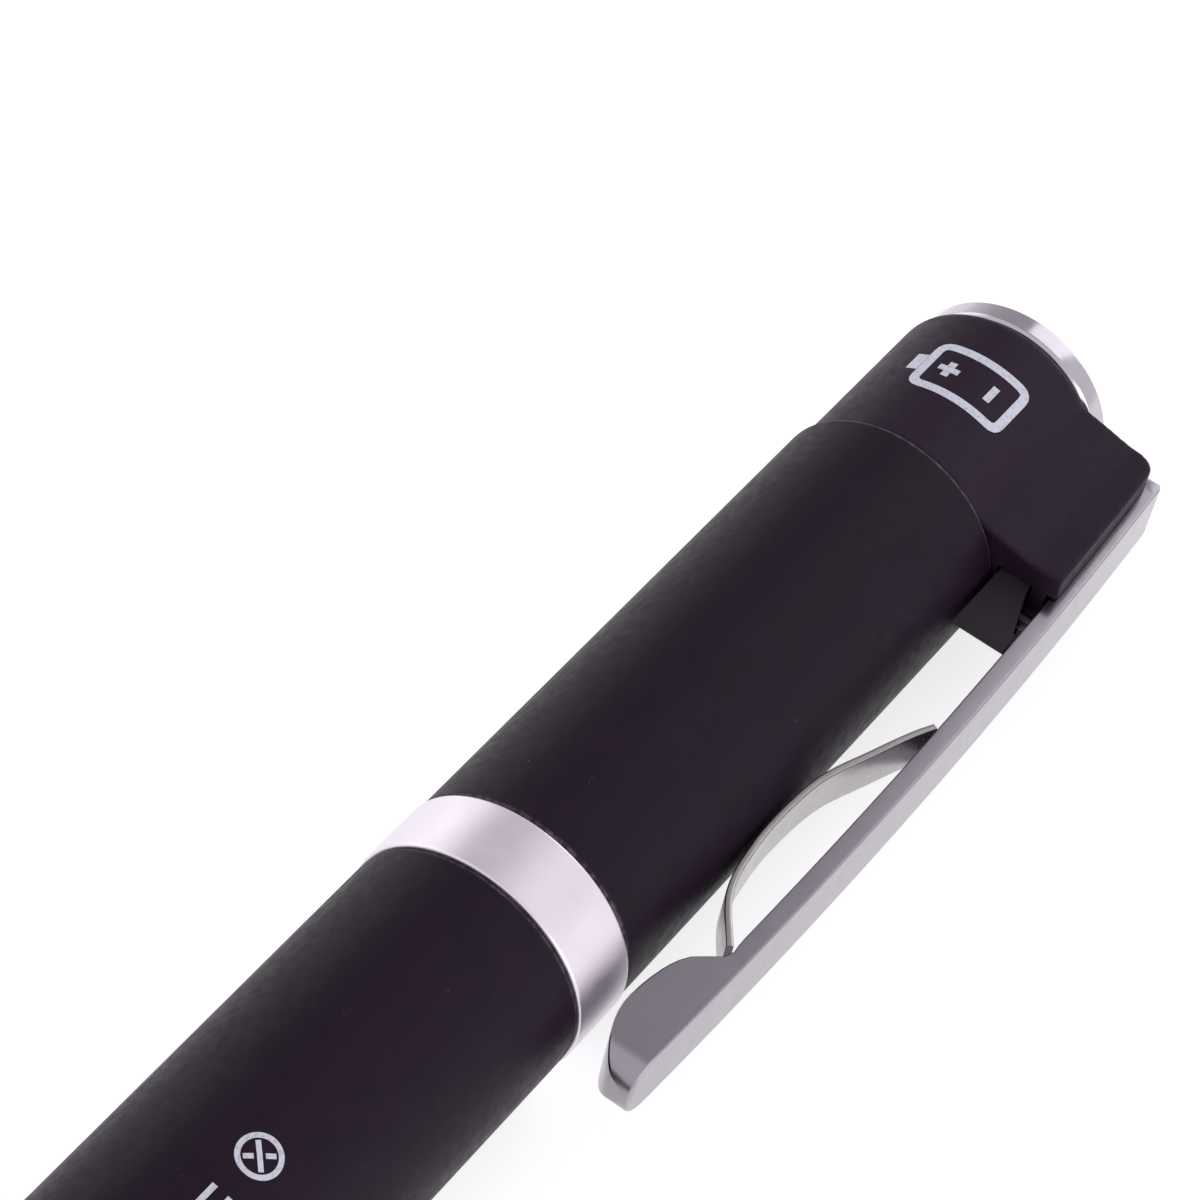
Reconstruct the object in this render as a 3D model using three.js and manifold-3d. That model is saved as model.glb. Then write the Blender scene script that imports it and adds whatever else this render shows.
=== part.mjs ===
// A pocket otoscope lying on its side: +X runs along the handle to its tail, the clip and the lens
// face -Y, the ear speculum points to +Y, and +Z is up. Millimetres.
import * as THREE from "three";
import { mergeVertices } from "three/addons/utils/BufferGeometryUtils.js";
import Module from "manifold-3d";

const wasm = await Module();
wasm.setup();

// ---- Driving dimensions -------------------------------------------------------------------------

// Two AA cells in series set the bore of the handle.
const cell = { radius: 7.15, length: 50.5, nubRadius: 2.75, nubLength: 1 };

// Running and seating clearances.
const gap = { cell: 0.2, thread: 0.15, press: 0.05, seam: 0.1, slide: 0.2, overBarrel: 0.3, hole: 0.15 };

const collar = { wall: 0.7, inLowerBarrel: 9, inUpperBarrel: 8.2, threadDepth: 0.25, threadPitch: 1.5 };
const barrel = { wallAtThread: 0.55, edgeRound: 0.35, upperLength: 44.3 };
const ring = { length: 5.3, proud: 0.15, edgeRound: 0.2 };

// The tail cap, its clip block and what sits in it.
const cap = { slack: 0.35, inset: 0.41, spigotLength: 8, endWall: 3, edgeRound: 0.6, shankRadius: 4.9 };
const block = { baseHalfWidth: 5.3, topHalfWidth: 4.4, tailInset: 0.3, cornerRadius: 2, channelDepth: 0.5 };
const plug = { radius: 7.8, thickness: 2, bevel: 0.26, neckRadius: 7, neckLength: 0.4 };
const bush = { length: 4.3, floor: 2.1, hole: 2 };
const cup = { radius: 5.8, depth: 1.9, floor: 0.7, wall: 0.35 };
const batterySpring = { wideRadius: 4.3, narrowRadius: 2.6, wire: 0.42, turns: 4.5 };

// The clip, its sliding switch and its bowed grip spring.
const clip = {
  gap: 4.67,
  thickness: 1.35,
  width: 4.9,
  bowRadius: 625,
  apexFromToe: 29.7,
  toeOverhang: 2.2,
  tailOverhang: 0.8,
  tailCorner: 0.9,
  toeDepth: 2.57,
  toeLength: 11.9,
};
const slider = {
  halfWidth: 2.4,
  cheek: 0.75,
  cheekChamfer: 0.6,
  tongueLength: 6.5,
  tipFlat: 1.3,
  bodyOverhang: 2.4,
  insideLength: 8.4,
  thickness: 2.4,
  stemStart: 4.4,
  stemLength: 2.6,
  stemHalfWidth: 1.2,
  stemDepth: 2.75,
  travel: 3.5,
};
const stud = { radius: 0.6, aheadOfCap: 0.9, inClip: 0.6, length: 2.8 };
const bow = { thickness: 0.5, width: 3.4, headEnd: 10.9, apex: 22.6, tailEnd: 35.4 };

// The neck between handle and head.
const pin = { radius: 1.2, flangeRadius: 2.4, flangeLength: 1, length: 10.4 };
const disc = { length: 4, afterFlange: 0.3 };
const pinSpring = { radius: 1.85, wire: 0.22, turns: 3.5, length: 3 };
const nose = { shoulder: 0.95, lampRoom: 0.7, flange: 1.3, length: 6.6, ridges: 3 };
const barrelLip = 1;
const headCollar = { length: 3.4, edgeRound: 0.3 };

// The head.
const head = {
  neckLength: 13,
  neckInset: 0.3,
  waist: 6.9,
  radius: 10.7,
  rear: 11,
  front: 13,
  frontWall: 1.1,
  rearRound: 1.2,
  chamberRadius: 6.3,
  chamberDepth: 7,
};
const lamp = { socketRadius: 4.3, socketWall: 0.55, baseLength: 7, bulbRadius: 2.3, bulbLength: 4.6 };
const contactTip = { radius: 1.2, length: 1.1 };
const fibre = { radius: 0.95, outsideTube: 0.45, start: 0.5, lead: 2.65 };
const cone = {
  baseRadius: 5.7,
  tipRadius: 3.55,
  length: 17,
  wall: 0.5,
  flange: 1,
  flangeOut: 0.6,
  spigotIn: 0.2,
};
const tube = { wall: 0.35, inHousing: 6 };
const speculum = { length: 34, wall: 0.55, tipRadius: 2, rimRadius: 7.4, rimLength: 2.6, seatGap: 0.3 };
const port = { radius: 1.9, barbRadius: 2.2, height: 5.6, shankRadius: 1.6, shankDepth: 2.6, bore: 0.7 };

// The swinging lens.
const frame = { radius: 8.7, thickness: 3.4, opening: 6.2, lugRadius: 2.6, lugStep: 0.9, pivotFromAxis: 10 };
const lens = { radius: 6.9, edge: 0.8, crown: 0.75 };
const retainer = { thickness: 0.6, width: 0.7 };
const screw = { radius: 1, headRadius: 1.9, headHeight: 0.85, depth: 6 };
const washer = { radius: 2.3, thickness: 0.2 };
const boss = { radius: 3.1, length: 7 };

// Facets round a full turn, for outer skins and for small inner pieces.
const FINE = 36;
const COARSE = 16;
const MERGE_DISTANCE = 1e-3;

// ---- Places and radii that follow from them -----------------------------------------------------

const cellBore = cell.radius + gap.cell;
const collarRadius = cellBore + collar.wall;
const threadBore = collarRadius + gap.thread;
const barrelRadius = threadBore + barrel.wallAtThread;
const ringRadius = barrelRadius + ring.proud;

// x = 0 is the edge of the middle ring nearest the head.
const upperStart = ring.length + gap.seam;
const upperEnd = ring.length + barrel.upperLength;
const capStart = upperEnd + gap.seam;
const capRadius = barrelRadius - cap.inset;
const bushHead = capStart + slider.stemStart + slider.stemLength + cap.slack;
const bushTail = bushHead + bush.length;
const endWallStart = bushTail + gap.hole;
const capEnd = endWallStart + cap.endWall;

const rearCellTail = capStart - gap.seam;
const rearCellTip = rearCellTail - cell.length;
const frontCellTail = rearCellTip - gap.press;
const frontCellTip = frontCellTail - cell.length;

const pinTail = frontCellTip - gap.press;
const discTail = pinTail - pin.flangeLength - disc.afterFlange;
const discHead = discTail - disc.length;
const noseFlangeHead = discHead - gap.seam - nose.flange;
const barrelHead = noseFlangeHead - gap.press - barrelLip;
const noseHead = barrelHead - nose.length;
const noseRadius = cellBore - nose.shoulder;
const lampBaseRadius = lamp.socketRadius - lamp.socketWall - gap.press;
const noseBore = lampBaseRadius + nose.lampRoom;
const pinHead = pinTail - pin.length;
const headCollarTail = barrelHead - gap.seam;
const headCollarHead = headCollarTail - headCollar.length;
const neckTail = headCollarHead - gap.seam;

// The lamp's tip touches the handle's pin; the fibres start ahead of the bulb and reach the optic axis.
const lampContact = pinHead - gap.press;
const lampBaseTail = lampContact - contactTip.length;
const lampBaseHead = lampBaseTail - lamp.baseLength;
const bulbTail = lampBaseHead - gap.press;
const bulbHead = bulbTail - lamp.bulbLength;
const socketTail = noseHead - gap.hole;
const fibreStart = bulbHead - fibre.start;
const fibreWallX = fibreStart - fibre.lead;

const frontFace = head.front;
const rearFace = -head.rear;
const coneTip = frontFace + cone.length;

// Outer radius of the speculum cone's seat, and of the layers inside it, at a place along Y.
function coneRadius(y) {
  const share = (y - frontFace) / cone.length;
  return cone.baseRadius + (cone.tipRadius - cone.baseRadius) * share;
}

function layerRadius(y) {
  return coneRadius(y) - cone.wall - gap.press;
}

function tubeRadius(y) {
  return layerRadius(y) - cone.wall - gap.press;
}

const opticX = fibreWallX - fibre.radius - fibre.outsideTube - tubeRadius(frontFace);
const pivotX = opticX - frame.pivotFromAxis;

const portY = rearFace + head.chamberDepth / 2;

const spigotRadius = cone.baseRadius - cone.spigotIn;
const flangeRadius = cone.baseRadius + cone.flangeOut;
const frontRadius = spigotRadius + head.frontWall;

const toeX = -clip.toeOverhang;
const clipTailX = capEnd + clip.tailOverhang;
const clipApexX = toeX + clip.apexFromToe;

// Height of the clip's two faces above the handle's axis at a place along it.
const clipInner = (x) => barrelRadius + clip.gap - (x - clipApexX) ** 2 / (2 * clip.bowRadius);
const clipOuter = (x) => clipInner(x) + clip.thickness;

// ---- Shape helpers ------------------------------------------------------------------------------

function solid(geometry) {
  const bare = new THREE.BufferGeometry();
  bare.setAttribute("position", geometry.getAttribute("position"));
  bare.setIndex(geometry.getIndex());
  const merged = mergeVertices(bare, MERGE_DISTANCE);
  const corners = merged.getIndex().array;
  const kept = [];
  for (let i = 0; i < corners.length; i += 3) {
    const [a, b, c] = [corners[i], corners[i + 1], corners[i + 2]];
    if (a !== b && b !== c && c !== a) {
      kept.push(a, b, c);
    }
  }
  const vertProperties = merged.getAttribute("position").array;
  const triVerts = new Uint32Array(kept);
  return new wasm.Manifold(new wasm.Mesh({ numProp: 3, vertProperties, triVerts }));
}

function geometryOf(made) {
  const mesh = made.getMesh();
  const geometry = new THREE.BufferGeometry();
  geometry.setAttribute("position", new THREE.BufferAttribute(mesh.vertProperties, 3));
  geometry.setIndex(new THREE.BufferAttribute(mesh.triVerts, 1));
  geometry.computeVertexNormals();
  return geometry;
}

const join = (first, ...others) => others.reduce((a, b) => a.add(b), first);
const cut = (first, ...others) => others.reduce((a, b) => a.subtract(b), first);

// Twice the area inside a closed outline, positive when it runs anticlockwise.
function turning(points) {
  return points.reduce((sum, [a, b], i) => {
    const [c, d] = points[(i + 1) % points.length];
    return sum + a * d - b * c;
  }, 0);
}

// A solid of revolution about Y. The outline is a list of [place along the axis, radius].
function turnedGeometry(outline, segments = FINE) {
  const ordered = turning(outline) > 0 ? [...outline].reverse() : outline;
  const touchesAxis = ordered.some(([, radius]) => radius === 0);
  let points = ordered.map(([along, radius]) => new THREE.Vector2(radius, along));
  if (touchesAxis) {
    // Start just after the stretch that runs along the axis, so that the profile begins and ends there.
    const first = points.findIndex((p, i) => p.x === 0 && points[(i + 1) % points.length].x > 0);
    points = [...points.slice(first), ...points.slice(0, first)];
  } else {
    points.push(points[0].clone());
  }
  return new THREE.LatheGeometry(points, segments);
}

// The same, about the handle's axis.
const turned = (outline, segments) => solid(turnedGeometry(outline, segments).rotateZ(-Math.PI / 2));

// The same, about a line along Y through (x, z).
function turnedAlongY(outline, x, z = 0, segments = FINE) {
  return solid(turnedGeometry(outline, segments).translate(x, 0, z));
}

// The same, about a line along Z through (x, y).
function turnedAlongZ(outline, x, y, segments = COARSE) {
  return solid(turnedGeometry(outline, segments).rotateX(Math.PI / 2).translate(x, y, 0));
}

const shapeOf = (points) => new THREE.Shape(points.map(([a, b]) => new THREE.Vector2(a, b)));

// A side outline of [x, height towards the clip], given its width across the handle.
function sideSolid(outline, width, middle = 0) {
  const shape = shapeOf(outline.map(([x, height]) => [x, -height]));
  const geometry = new THREE.ExtrudeGeometry(shape, { depth: width, bevelEnabled: false });
  return solid(geometry.translate(0, 0, middle - width / 2));
}

// An outline of [x, z] seen along Y, between two places on Y.
function planSolid(shape, low, high) {
  const settings = { depth: high - low, bevelEnabled: false, curveSegments: 12 };
  const geometry = new THREE.ExtrudeGeometry(shape, settings);
  return solid(geometry.rotateX(Math.PI / 2).translate(0, high, 0));
}

// Points of a circular arc, angles in turns of a circle measured from the first axis to the second.
function arc(centreA, centreB, radius, from, to, steps) {
  return Array.from({ length: steps + 1 }, (_, i) => {
    const angle = 2 * Math.PI * (from + ((to - from) * i) / steps);
    return [centreA + radius * Math.cos(angle), centreB + radius * Math.sin(angle)];
  });
}

const along = (from, to, steps, height) =>
  Array.from({ length: steps + 1 }, (_, i) => {
    const x = from + ((to - from) * i) / steps;
    return [x, height(x)];
  });

// A tube of an outer radius, a bore, and rounded outer edges.
function sleeve(from, to, radius, bore, round = 0, segments = FINE) {
  const outer = round
    ? [
        ...arc(to - round, radius - round, round, 0, 0.25, 3),
        ...arc(from + round, radius - round, round, 0.25, 0.5, 3),
      ]
    : [[to, radius], [from, radius]];
  return turned([[from, bore], [to, bore], ...outer], segments);
}

const rod = (from, to, radius, segments = COARSE) =>
  turned([[from, 0], [to, 0], [to, radius], [from, radius]], segments);

class Helix extends THREE.Curve {
  constructor(from, to, startRadius, endRadius, turns) {
    super();
    Object.assign(this, { from, to, startRadius, endRadius, turns });
  }

  getPoint(t, target = new THREE.Vector3()) {
    const angle = 2 * Math.PI * this.turns * t;
    const radius = this.startRadius + (this.endRadius - this.startRadius) * t;
    return target.set(
      this.from + (this.to - this.from) * t,
      radius * Math.cos(angle),
      radius * Math.sin(angle),
    );
  }
}

function wireAlong(path, radius, steps, sides = 7) {
  const section = shapeOf(arc(0, 0, radius, 0, 1 - 1 / sides, sides - 1));
  return new THREE.ExtrudeGeometry(section, { steps, extrudePath: path, bevelEnabled: false });
}

// ---- Materials ----------------------------------------------------------------------------------

function finish(color, roughness, metalness) {
  return new THREE.MeshStandardMaterial({ color, roughness, metalness });
}

const blackPaint = () => finish(0x1c181d, 0.55, 0.1);
const blackPlastic = () => finish(0x19171b, 0.5, 0);
const chrome = () => finish(0xd9d4dc, 0.12, 1);
const steel = () => finish(0x9c979e, 0.3, 1);
const brass = () => finish(0xb5924a, 0.35, 1);
const glass = () => finish(0xe8f0f2, 0.05, 0);
const cellSkin = () => finish(0x3d6b8a, 0.4, 0.2);
const clearFibre = () => finish(0xe6e3d6, 0.25, 0);

const instrument = new THREE.Group();

function piece(name, made, material) {
  const mesh = new THREE.Mesh(geometryOf(made), material);
  mesh.name = name;
  instrument.add(mesh);
}

// ---- Handle -------------------------------------------------------------------------------------

function lowerBarrel() {
  const collarBore = collarRadius + gap.press;
  const lipBore = noseRadius + gap.press;
  return turned([
    [barrelHead, lipBore],
    [barrelHead + barrelLip, lipBore],
    [barrelHead + barrelLip, cellBore],
    [-collar.inLowerBarrel - gap.seam, cellBore],
    [-collar.inLowerBarrel - gap.seam, collarBore],
    [-gap.press, collarBore],
    ...arc(-gap.press - barrel.edgeRound, barrelRadius - barrel.edgeRound, barrel.edgeRound, 0, 0.25, 3),
    ...arc(barrelHead + barrel.edgeRound, barrelRadius - barrel.edgeRound, barrel.edgeRound, 0.25, 0.5, 3),
  ]);
}

function threadCollar() {
  const threadEnd = ring.length + collar.inUpperBarrel;
  const ridges = [];
  for (let x = threadEnd; x - collar.threadPitch > ring.length; x -= collar.threadPitch) {
    ridges.push([x, collarRadius - collar.threadDepth]);
    ridges.push([x - collar.threadPitch / 4, collarRadius]);
    ridges.push([x - collar.threadPitch / 2, collarRadius]);
    ridges.push([x - (collar.threadPitch * 3) / 4, collarRadius - collar.threadDepth]);
  }
  return turned(
    [
      [-collar.inLowerBarrel, cellBore],
      [threadEnd, cellBore],
      ...ridges,
      [ring.length, collarRadius],
      [-collar.inLowerBarrel, collarRadius],
    ],
    COARSE,
  );
}

function batteryCell(tail) {
  const shoulder = tail - cell.length + cell.nubLength;
  return turned(
    [
      [tail, 0],
      [tail, cell.radius],
      [shoulder, cell.radius],
      [shoulder, cell.nubRadius],
      [shoulder - cell.nubLength, cell.nubRadius],
      [shoulder - cell.nubLength, 0],
    ],
    COARSE,
  );
}

function headMount() {
  const pitch = (nose.length - 2) / nose.ridges;
  const ridges = [];
  for (let i = 0; i < nose.ridges; i += 1) {
    const x = noseHead + 0.6 + i * pitch;
    ridges.push([x, noseRadius - collar.threadDepth]);
    ridges.push([x + pitch / 3, noseRadius]);
    ridges.push([x + (pitch * 2) / 3, noseRadius]);
    ridges.push([x + pitch * 0.9, noseRadius - collar.threadDepth]);
  }
  const flangeTail = noseFlangeHead + nose.flange;
  return turned(
    [
      [flangeTail, noseBore],
      [noseHead, noseBore],
      [noseHead, noseRadius - collar.threadDepth],
      ...ridges,
      [barrelHead - gap.seam, noseRadius],
      [noseFlangeHead, noseRadius],
      [noseFlangeHead, cellBore - gap.press],
      [flangeTail, cellBore - gap.press],
    ],
    COARSE,
  );
}

function contactPin() {
  const flangeHead = pinTail - pin.flangeLength;
  return turned(
    [
      [pinTail, 0],
      [pinTail, pin.flangeRadius],
      [flangeHead, pin.flangeRadius],
      [flangeHead, pin.radius],
      [pinHead + pin.radius / 2, pin.radius],
      [pinHead, pin.radius / 2],
      [pinHead, 0],
    ],
    COARSE,
  );
}

function contactPinSpring() {
  const from = discHead - gap.hole - pinSpring.wire;
  const path = new Helix(from, from - pinSpring.length, pinSpring.radius, pinSpring.radius, pinSpring.turns);
  return solid(wireAlong(path, pinSpring.wire, pinSpring.turns * 10, 4));
}

piece("lower_barrel", lowerBarrel(), blackPaint());
piece("mid_ring", sleeve(0, ring.length, ringRadius, collarRadius + gap.press, ring.edgeRound), chrome());
piece("thread_collar", threadCollar(), brass());
piece("battery_rear", batteryCell(rearCellTail), cellSkin());
piece("battery_front", batteryCell(frontCellTail), cellSkin());
piece(
  "contact_disc",
  sleeve(discHead, discTail, cellBore - gap.press, pin.radius + gap.hole, 0, COARSE),
  finish(0x6b5a44, 0.7, 0),
);
piece("contact_pin", contactPin(), brass());
piece("contact_pin_spring", contactPinSpring(), steel());
piece("head_mount", headMount(), brass());

// ---- Tail section -------------------------------------------------------------------------------

function upperBarrel() {
  const threadEnd = ring.length + collar.inUpperBarrel + gap.hole;
  const spigotStart = upperEnd - cap.spigotLength - gap.seam;
  return turned([
    [upperStart, threadBore],
    [threadEnd, threadBore],
    [threadEnd, cellBore],
    [spigotStart, cellBore],
    [spigotStart, threadBore],
    [upperEnd, threadBore],
    ...arc(upperEnd - barrel.edgeRound, barrelRadius - barrel.edgeRound, barrel.edgeRound, 0, 0.25, 3),
    ...arc(upperStart + barrel.edgeRound, barrelRadius - barrel.edgeRound, barrel.edgeRound, 0.25, 0.5, 3),
  ]);
}

// The cross-section of the clip block: wide where it flows into the cap, narrow under the clip.
function blockSection() {
  const top = clipInner(capStart) + block.channelDepth + 1;
  const waistHeight = (capRadius + top) / 2;
  const shape = new THREE.Shape();
  shape.moveTo(0, 0);
  shape.lineTo(block.baseHalfWidth, 0);
  shape.lineTo(block.baseHalfWidth, capRadius * 0.8);
  shape.quadraticCurveTo(block.topHalfWidth + 0.25, capRadius + 0.6, block.topHalfWidth + 0.1, waistHeight);
  shape.lineTo(block.topHalfWidth, top);
  shape.lineTo(-block.topHalfWidth, top);
  shape.lineTo(-block.topHalfWidth - 0.1, waistHeight);
  shape.quadraticCurveTo(-block.topHalfWidth - 0.25, capRadius + 0.6, -block.baseHalfWidth, capRadius * 0.8);
  shape.lineTo(-block.baseHalfWidth, 0);
  const length = capEnd - capStart + 2;
  const settings = { depth: length, bevelEnabled: false, curveSegments: 8 };
  const geometry = new THREE.ExtrudeGeometry(shape, settings);
  // Shape axes: first across the handle, second towards the clip, depth along the handle.
  const placed = new THREE.Matrix4().makeBasis(
    new THREE.Vector3(0, 0, -1),
    new THREE.Vector3(0, -1, 0),
    new THREE.Vector3(-1, 0, 0),
  );
  return solid(geometry.applyMatrix4(placed).translate(capStart + length, 0, 0));
}

// The block's side outline, with its rounded corner by the tail.
function blockSide() {
  const wallTop = (x) => clipInner(x) + block.channelDepth;
  const tail = capEnd - block.tailInset;
  const cornerX = tail - block.cornerRadius;
  const cornerHeight = wallTop(cornerX) - block.cornerRadius;
  return sideSolid(
    [
      [capStart, capRadius / 2],
      [capStart, wallTop(capStart)],
      ...along(capStart + 1, cornerX - 1, 4, wallTop),
      ...arc(cornerX, cornerHeight, block.cornerRadius, 0.25, 0, 6),
      [tail, capRadius / 2],
    ],
    4 * block.baseHalfWidth,
  );
}

function tailCap() {
  const shell = turned([
    [capStart - gap.seam - cap.spigotLength, 0],
    [capStart - gap.seam - cap.spigotLength, threadBore - gap.seam],
    [capStart, threadBore - gap.seam],
    [capStart, capRadius],
    ...arc(capEnd - cap.edgeRound, capRadius - cap.edgeRound, cap.edgeRound, 0.25, 0, 4),
    [capEnd, 0],
  ]);
  const cellSpace = rod(0, endWallStart, cellBore, FINE);
  const shankHole = rod(endWallStart - 1, capEnd + 1, cap.shankRadius + gap.press, FINE);
  const channelWidth = clip.width + 2 * gap.hole;
  // The bowed clip sinks a little as it slides, so the floor clears it at the end of its travel.
  const channel = sideSolid(
    [
      ...along(capStart - 1, capEnd + 5, 8, (x) => clipInner(x + slider.travel) - gap.hole),
      [capEnd + 5, clipOuter(capEnd) + 5],
      [capStart - 1, clipOuter(capEnd) + 5],
    ],
    channelWidth,
  );
  const slideFloor = barrelRadius + gap.overBarrel - gap.slide;
  const slideRoof = slideFloor + slider.thickness + 2 * gap.slide;
  const slideEnd = capStart + slider.insideLength + 2 * gap.slide;
  const slideRoom = sideSolid(
    [
      [capStart - 1, slideFloor],
      [slideEnd, slideFloor],
      [slideEnd, slideRoof],
      [capStart - 1, slideRoof],
    ],
    2 * (slider.halfWidth + gap.slide),
  );
  const stemFrom = capStart + slider.stemStart - slider.travel - 2 * gap.slide;
  const stemTo = capStart + slider.stemStart + slider.stemLength + 2 * gap.slide;
  const stemSlot = sideSolid(
    [
      [stemFrom, cellBore / 2],
      [stemTo, cellBore / 2],
      [stemTo, slideFloor + gap.slide],
      [stemFrom, slideFloor + gap.slide],
    ],
    2 * (slider.stemHalfWidth + gap.slide),
  );
  const body = join(shell, blockSide().intersect(blockSection()));
  return cut(body, cellSpace, shankHole, channel, slideRoom, stemSlot);
}

function tailPlug() {
  const discStart = capEnd + plug.neckLength;
  const discEnd = discStart + plug.thickness;
  return turned([
    [endWallStart + gap.slide, 0],
    [endWallStart + gap.slide, cap.shankRadius],
    [capEnd + gap.press, cap.shankRadius],
    [capEnd + gap.press, plug.neckRadius],
    [discStart, plug.neckRadius],
    [discStart, plug.radius],
    [discEnd - plug.bevel, plug.radius - plug.bevel / 2],
    [discEnd, plug.radius - plug.bevel * 1.5],
    [discEnd, 0],
  ]);
}

const cupTail = bushTail - bush.floor - gap.press;
const cupHead = cupTail - cup.depth;

function insulatorBush() {
  const pocket = cup.radius + gap.seam;
  return turned(
    [
      [bushHead, pocket],
      [bushTail - bush.floor, pocket],
      [bushTail - bush.floor, bush.hole],
      [bushTail, bush.hole],
      [bushTail, cellBore - gap.press],
      [bushHead, cellBore - gap.press],
    ],
    COARSE,
  );
}

function springCup() {
  return turned(
    [
      [cupTail, 0],
      [cupTail, cup.radius],
      [cupHead, cup.radius],
      [cupHead, cup.radius - cup.wall],
      [cupTail - cup.floor, cup.radius - cup.wall],
      [cupTail - cup.floor, 0],
    ],
    COARSE,
  );
}

function tailSpring() {
  const room = gap.press + batterySpring.wire;
  const path = new Helix(
    cupTail - cup.floor - room,
    rearCellTail + room,
    batterySpring.wideRadius,
    batterySpring.narrowRadius,
    batterySpring.turns,
  );
  return solid(wireAlong(path, batterySpring.wire, batterySpring.turns * 12, 5));
}

// A brass strip beside the switch stem, against the inside of the cap.
function switchContact() {
  const stripHeight = 0.35;
  const from = rearCellTail + gap.slide + 0.5;
  const to = bushHead - gap.slide;
  const side = slider.stemHalfWidth + gap.slide;
  const stripWidth = 1.4;
  const reach = Math.sqrt((cellBore - gap.slide) ** 2 - (side + stripWidth) ** 2);
  return sideSolid(
    [
      [from, reach - stripHeight],
      [to, reach - stripHeight],
      [to, reach],
      [from, reach],
    ],
    stripWidth,
    side + stripWidth / 2,
  );
}

piece("upper_barrel", upperBarrel(), blackPaint());
piece("tail_cap", tailCap(), blackPlastic());
piece("tail_plug", tailPlug(), chrome());
piece("insulator_bush", insulatorBush(), finish(0xd8d2c4, 0.6, 0));
piece("spring_cup", springCup(), brass());
piece("battery_spring", tailSpring(), steel());
piece("switch_contact", switchContact(), brass());

// ---- Clip and its sliding switch ----------------------------------------------------------------

const tongueTip = capStart - slider.tongueLength;
const sliderLow = barrelRadius + gap.overBarrel;
const sliderHigh = sliderLow + slider.thickness;
const stemFrom = capStart + slider.stemStart;
const stemTo = stemFrom + slider.stemLength;
const stemLow = sliderLow - slider.stemDepth;
const studX = capStart - stud.aheadOfCap;

// The slider seen from the clip: ahead of its body, one thin cheek reaches on to the tongue's tip.
function sliderPlan() {
  const side = slider.halfWidth;
  const bodyHead = capStart - slider.bodyOverhang;
  const bodyTail = capStart + slider.insideLength + 1;
  const outline = shapeOf([
    [tongueTip, side],
    [tongueTip + slider.cheekChamfer, side - slider.cheek],
    [bodyHead, side - slider.cheek],
    [bodyHead, -side],
    [bodyTail, -side],
    [bodyTail, side],
  ]);
  return planSolid(outline, -2 * barrelRadius, 0);
}

function clipSlider() {
  const tipHeight = (x) => clipInner(x) - gap.seam;
  const tongue = sideSolid(
    [
      [tongueTip, sliderLow],
      [capStart + slider.insideLength, sliderLow],
      [capStart + slider.insideLength, sliderHigh],
      [capStart - gap.overBarrel, sliderHigh],
      [tongueTip + slider.tipFlat, tipHeight(tongueTip + slider.tipFlat)],
      [tongueTip, tipHeight(tongueTip)],
    ],
    2 * slider.halfWidth + 1,
  ).intersect(sliderPlan());
  const stem = sideSolid(
    [
      [stemFrom, stemLow],
      [stemTo, stemLow],
      [stemTo, sliderLow + slider.thickness / 2],
      [stemFrom, sliderLow + slider.thickness / 2],
    ],
    2 * slider.stemHalfWidth,
  );
  const holeTop = clipInner(studX) + 1;
  const holeLow = clipInner(studX) - gap.seam - stud.length - gap.hole;
  const hole = turnedAlongY(
    [[-holeTop, 0], [-holeTop, stud.radius + gap.hole], [-holeLow, stud.radius + gap.hole], [-holeLow, 0]],
    studX,
    0,
    COARSE,
  );
  return cut(join(tongue, stem), hole);
}

function sliderContact() {
  const leaf = 0.35;
  const top = stemLow - gap.press;
  return sideSolid(
    [
      [stemFrom + gap.seam, top],
      [stemTo - gap.seam, top],
      [stemTo - gap.seam, top - leaf],
      [stemFrom + slider.stemLength / 3, top - leaf],
      [stemFrom + gap.seam, top - 2 * leaf],
    ],
    2 * slider.stemHalfWidth,
  );
}

// The toe under the clip's free end, as the height of its under side.
function toeUnderside() {
  const low = clipInner(0) - clip.toeDepth;
  const back = toeX + clip.toeLength;
  const curve = new THREE.SplineCurve([
    new THREE.Vector2(back, clipInner(back)),
    new THREE.Vector2(back - 1.7, low + 1.05),
    new THREE.Vector2(back - 4.2, low + 0.15),
    new THREE.Vector2(toeX + 4.4, low),
    new THREE.Vector2(toeX + 2.1, low + 0.85),
    new THREE.Vector2(toeX + 0.45, low + 2.35),
    new THREE.Vector2(toeX, clipOuter(toeX) - 0.2),
  ]);
  return curve.getPoints(20).map((p) => [p.x, p.y]);
}

// The clip seen from above: its free end is a half circle, and its tail has two rounded corners.
function clipPlan() {
  const half = clip.width / 2;
  const corner = clip.tailCorner;
  const shape = new THREE.Shape();
  shape.absarc(toeX + half, 0, half, Math.PI / 2, (3 * Math.PI) / 2, false);
  shape.absarc(clipTailX - corner, corner - half, corner, -Math.PI / 2, 0, false);
  shape.absarc(clipTailX - corner, half - corner, corner, 0, Math.PI / 2, false);
  return planSolid(shape, -3 * barrelRadius, 0);
}

function clipBar() {
  const under = toeUnderside();
  const back = toeX + clip.toeLength;
  const side = sideSolid(
    [
      ...along(toeX, clipTailX, 16, clipOuter),
      ...along(clipTailX, back + 1, 14, clipInner),
      ...under,
    ],
    clip.width,
  );
  const seat = clipInner(studX) + stud.inClip + gap.press;
  const low = clipInner(studX) - 1;
  const hole = turnedAlongY(
    [[-seat, 0], [-seat, stud.radius + gap.press], [-low, stud.radius + gap.press], [-low, 0]],
    studX,
    0,
    COARSE,
  );
  return cut(side.intersect(clipPlan()), hole);
}

function driveStud() {
  const top = clipInner(studX) + stud.inClip;
  const low = clipInner(studX) - stud.length;
  return turnedAlongY([[-top, 0], [-top, stud.radius], [-low, stud.radius], [-low, 0]], studX, 0, COARSE);
}

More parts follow.
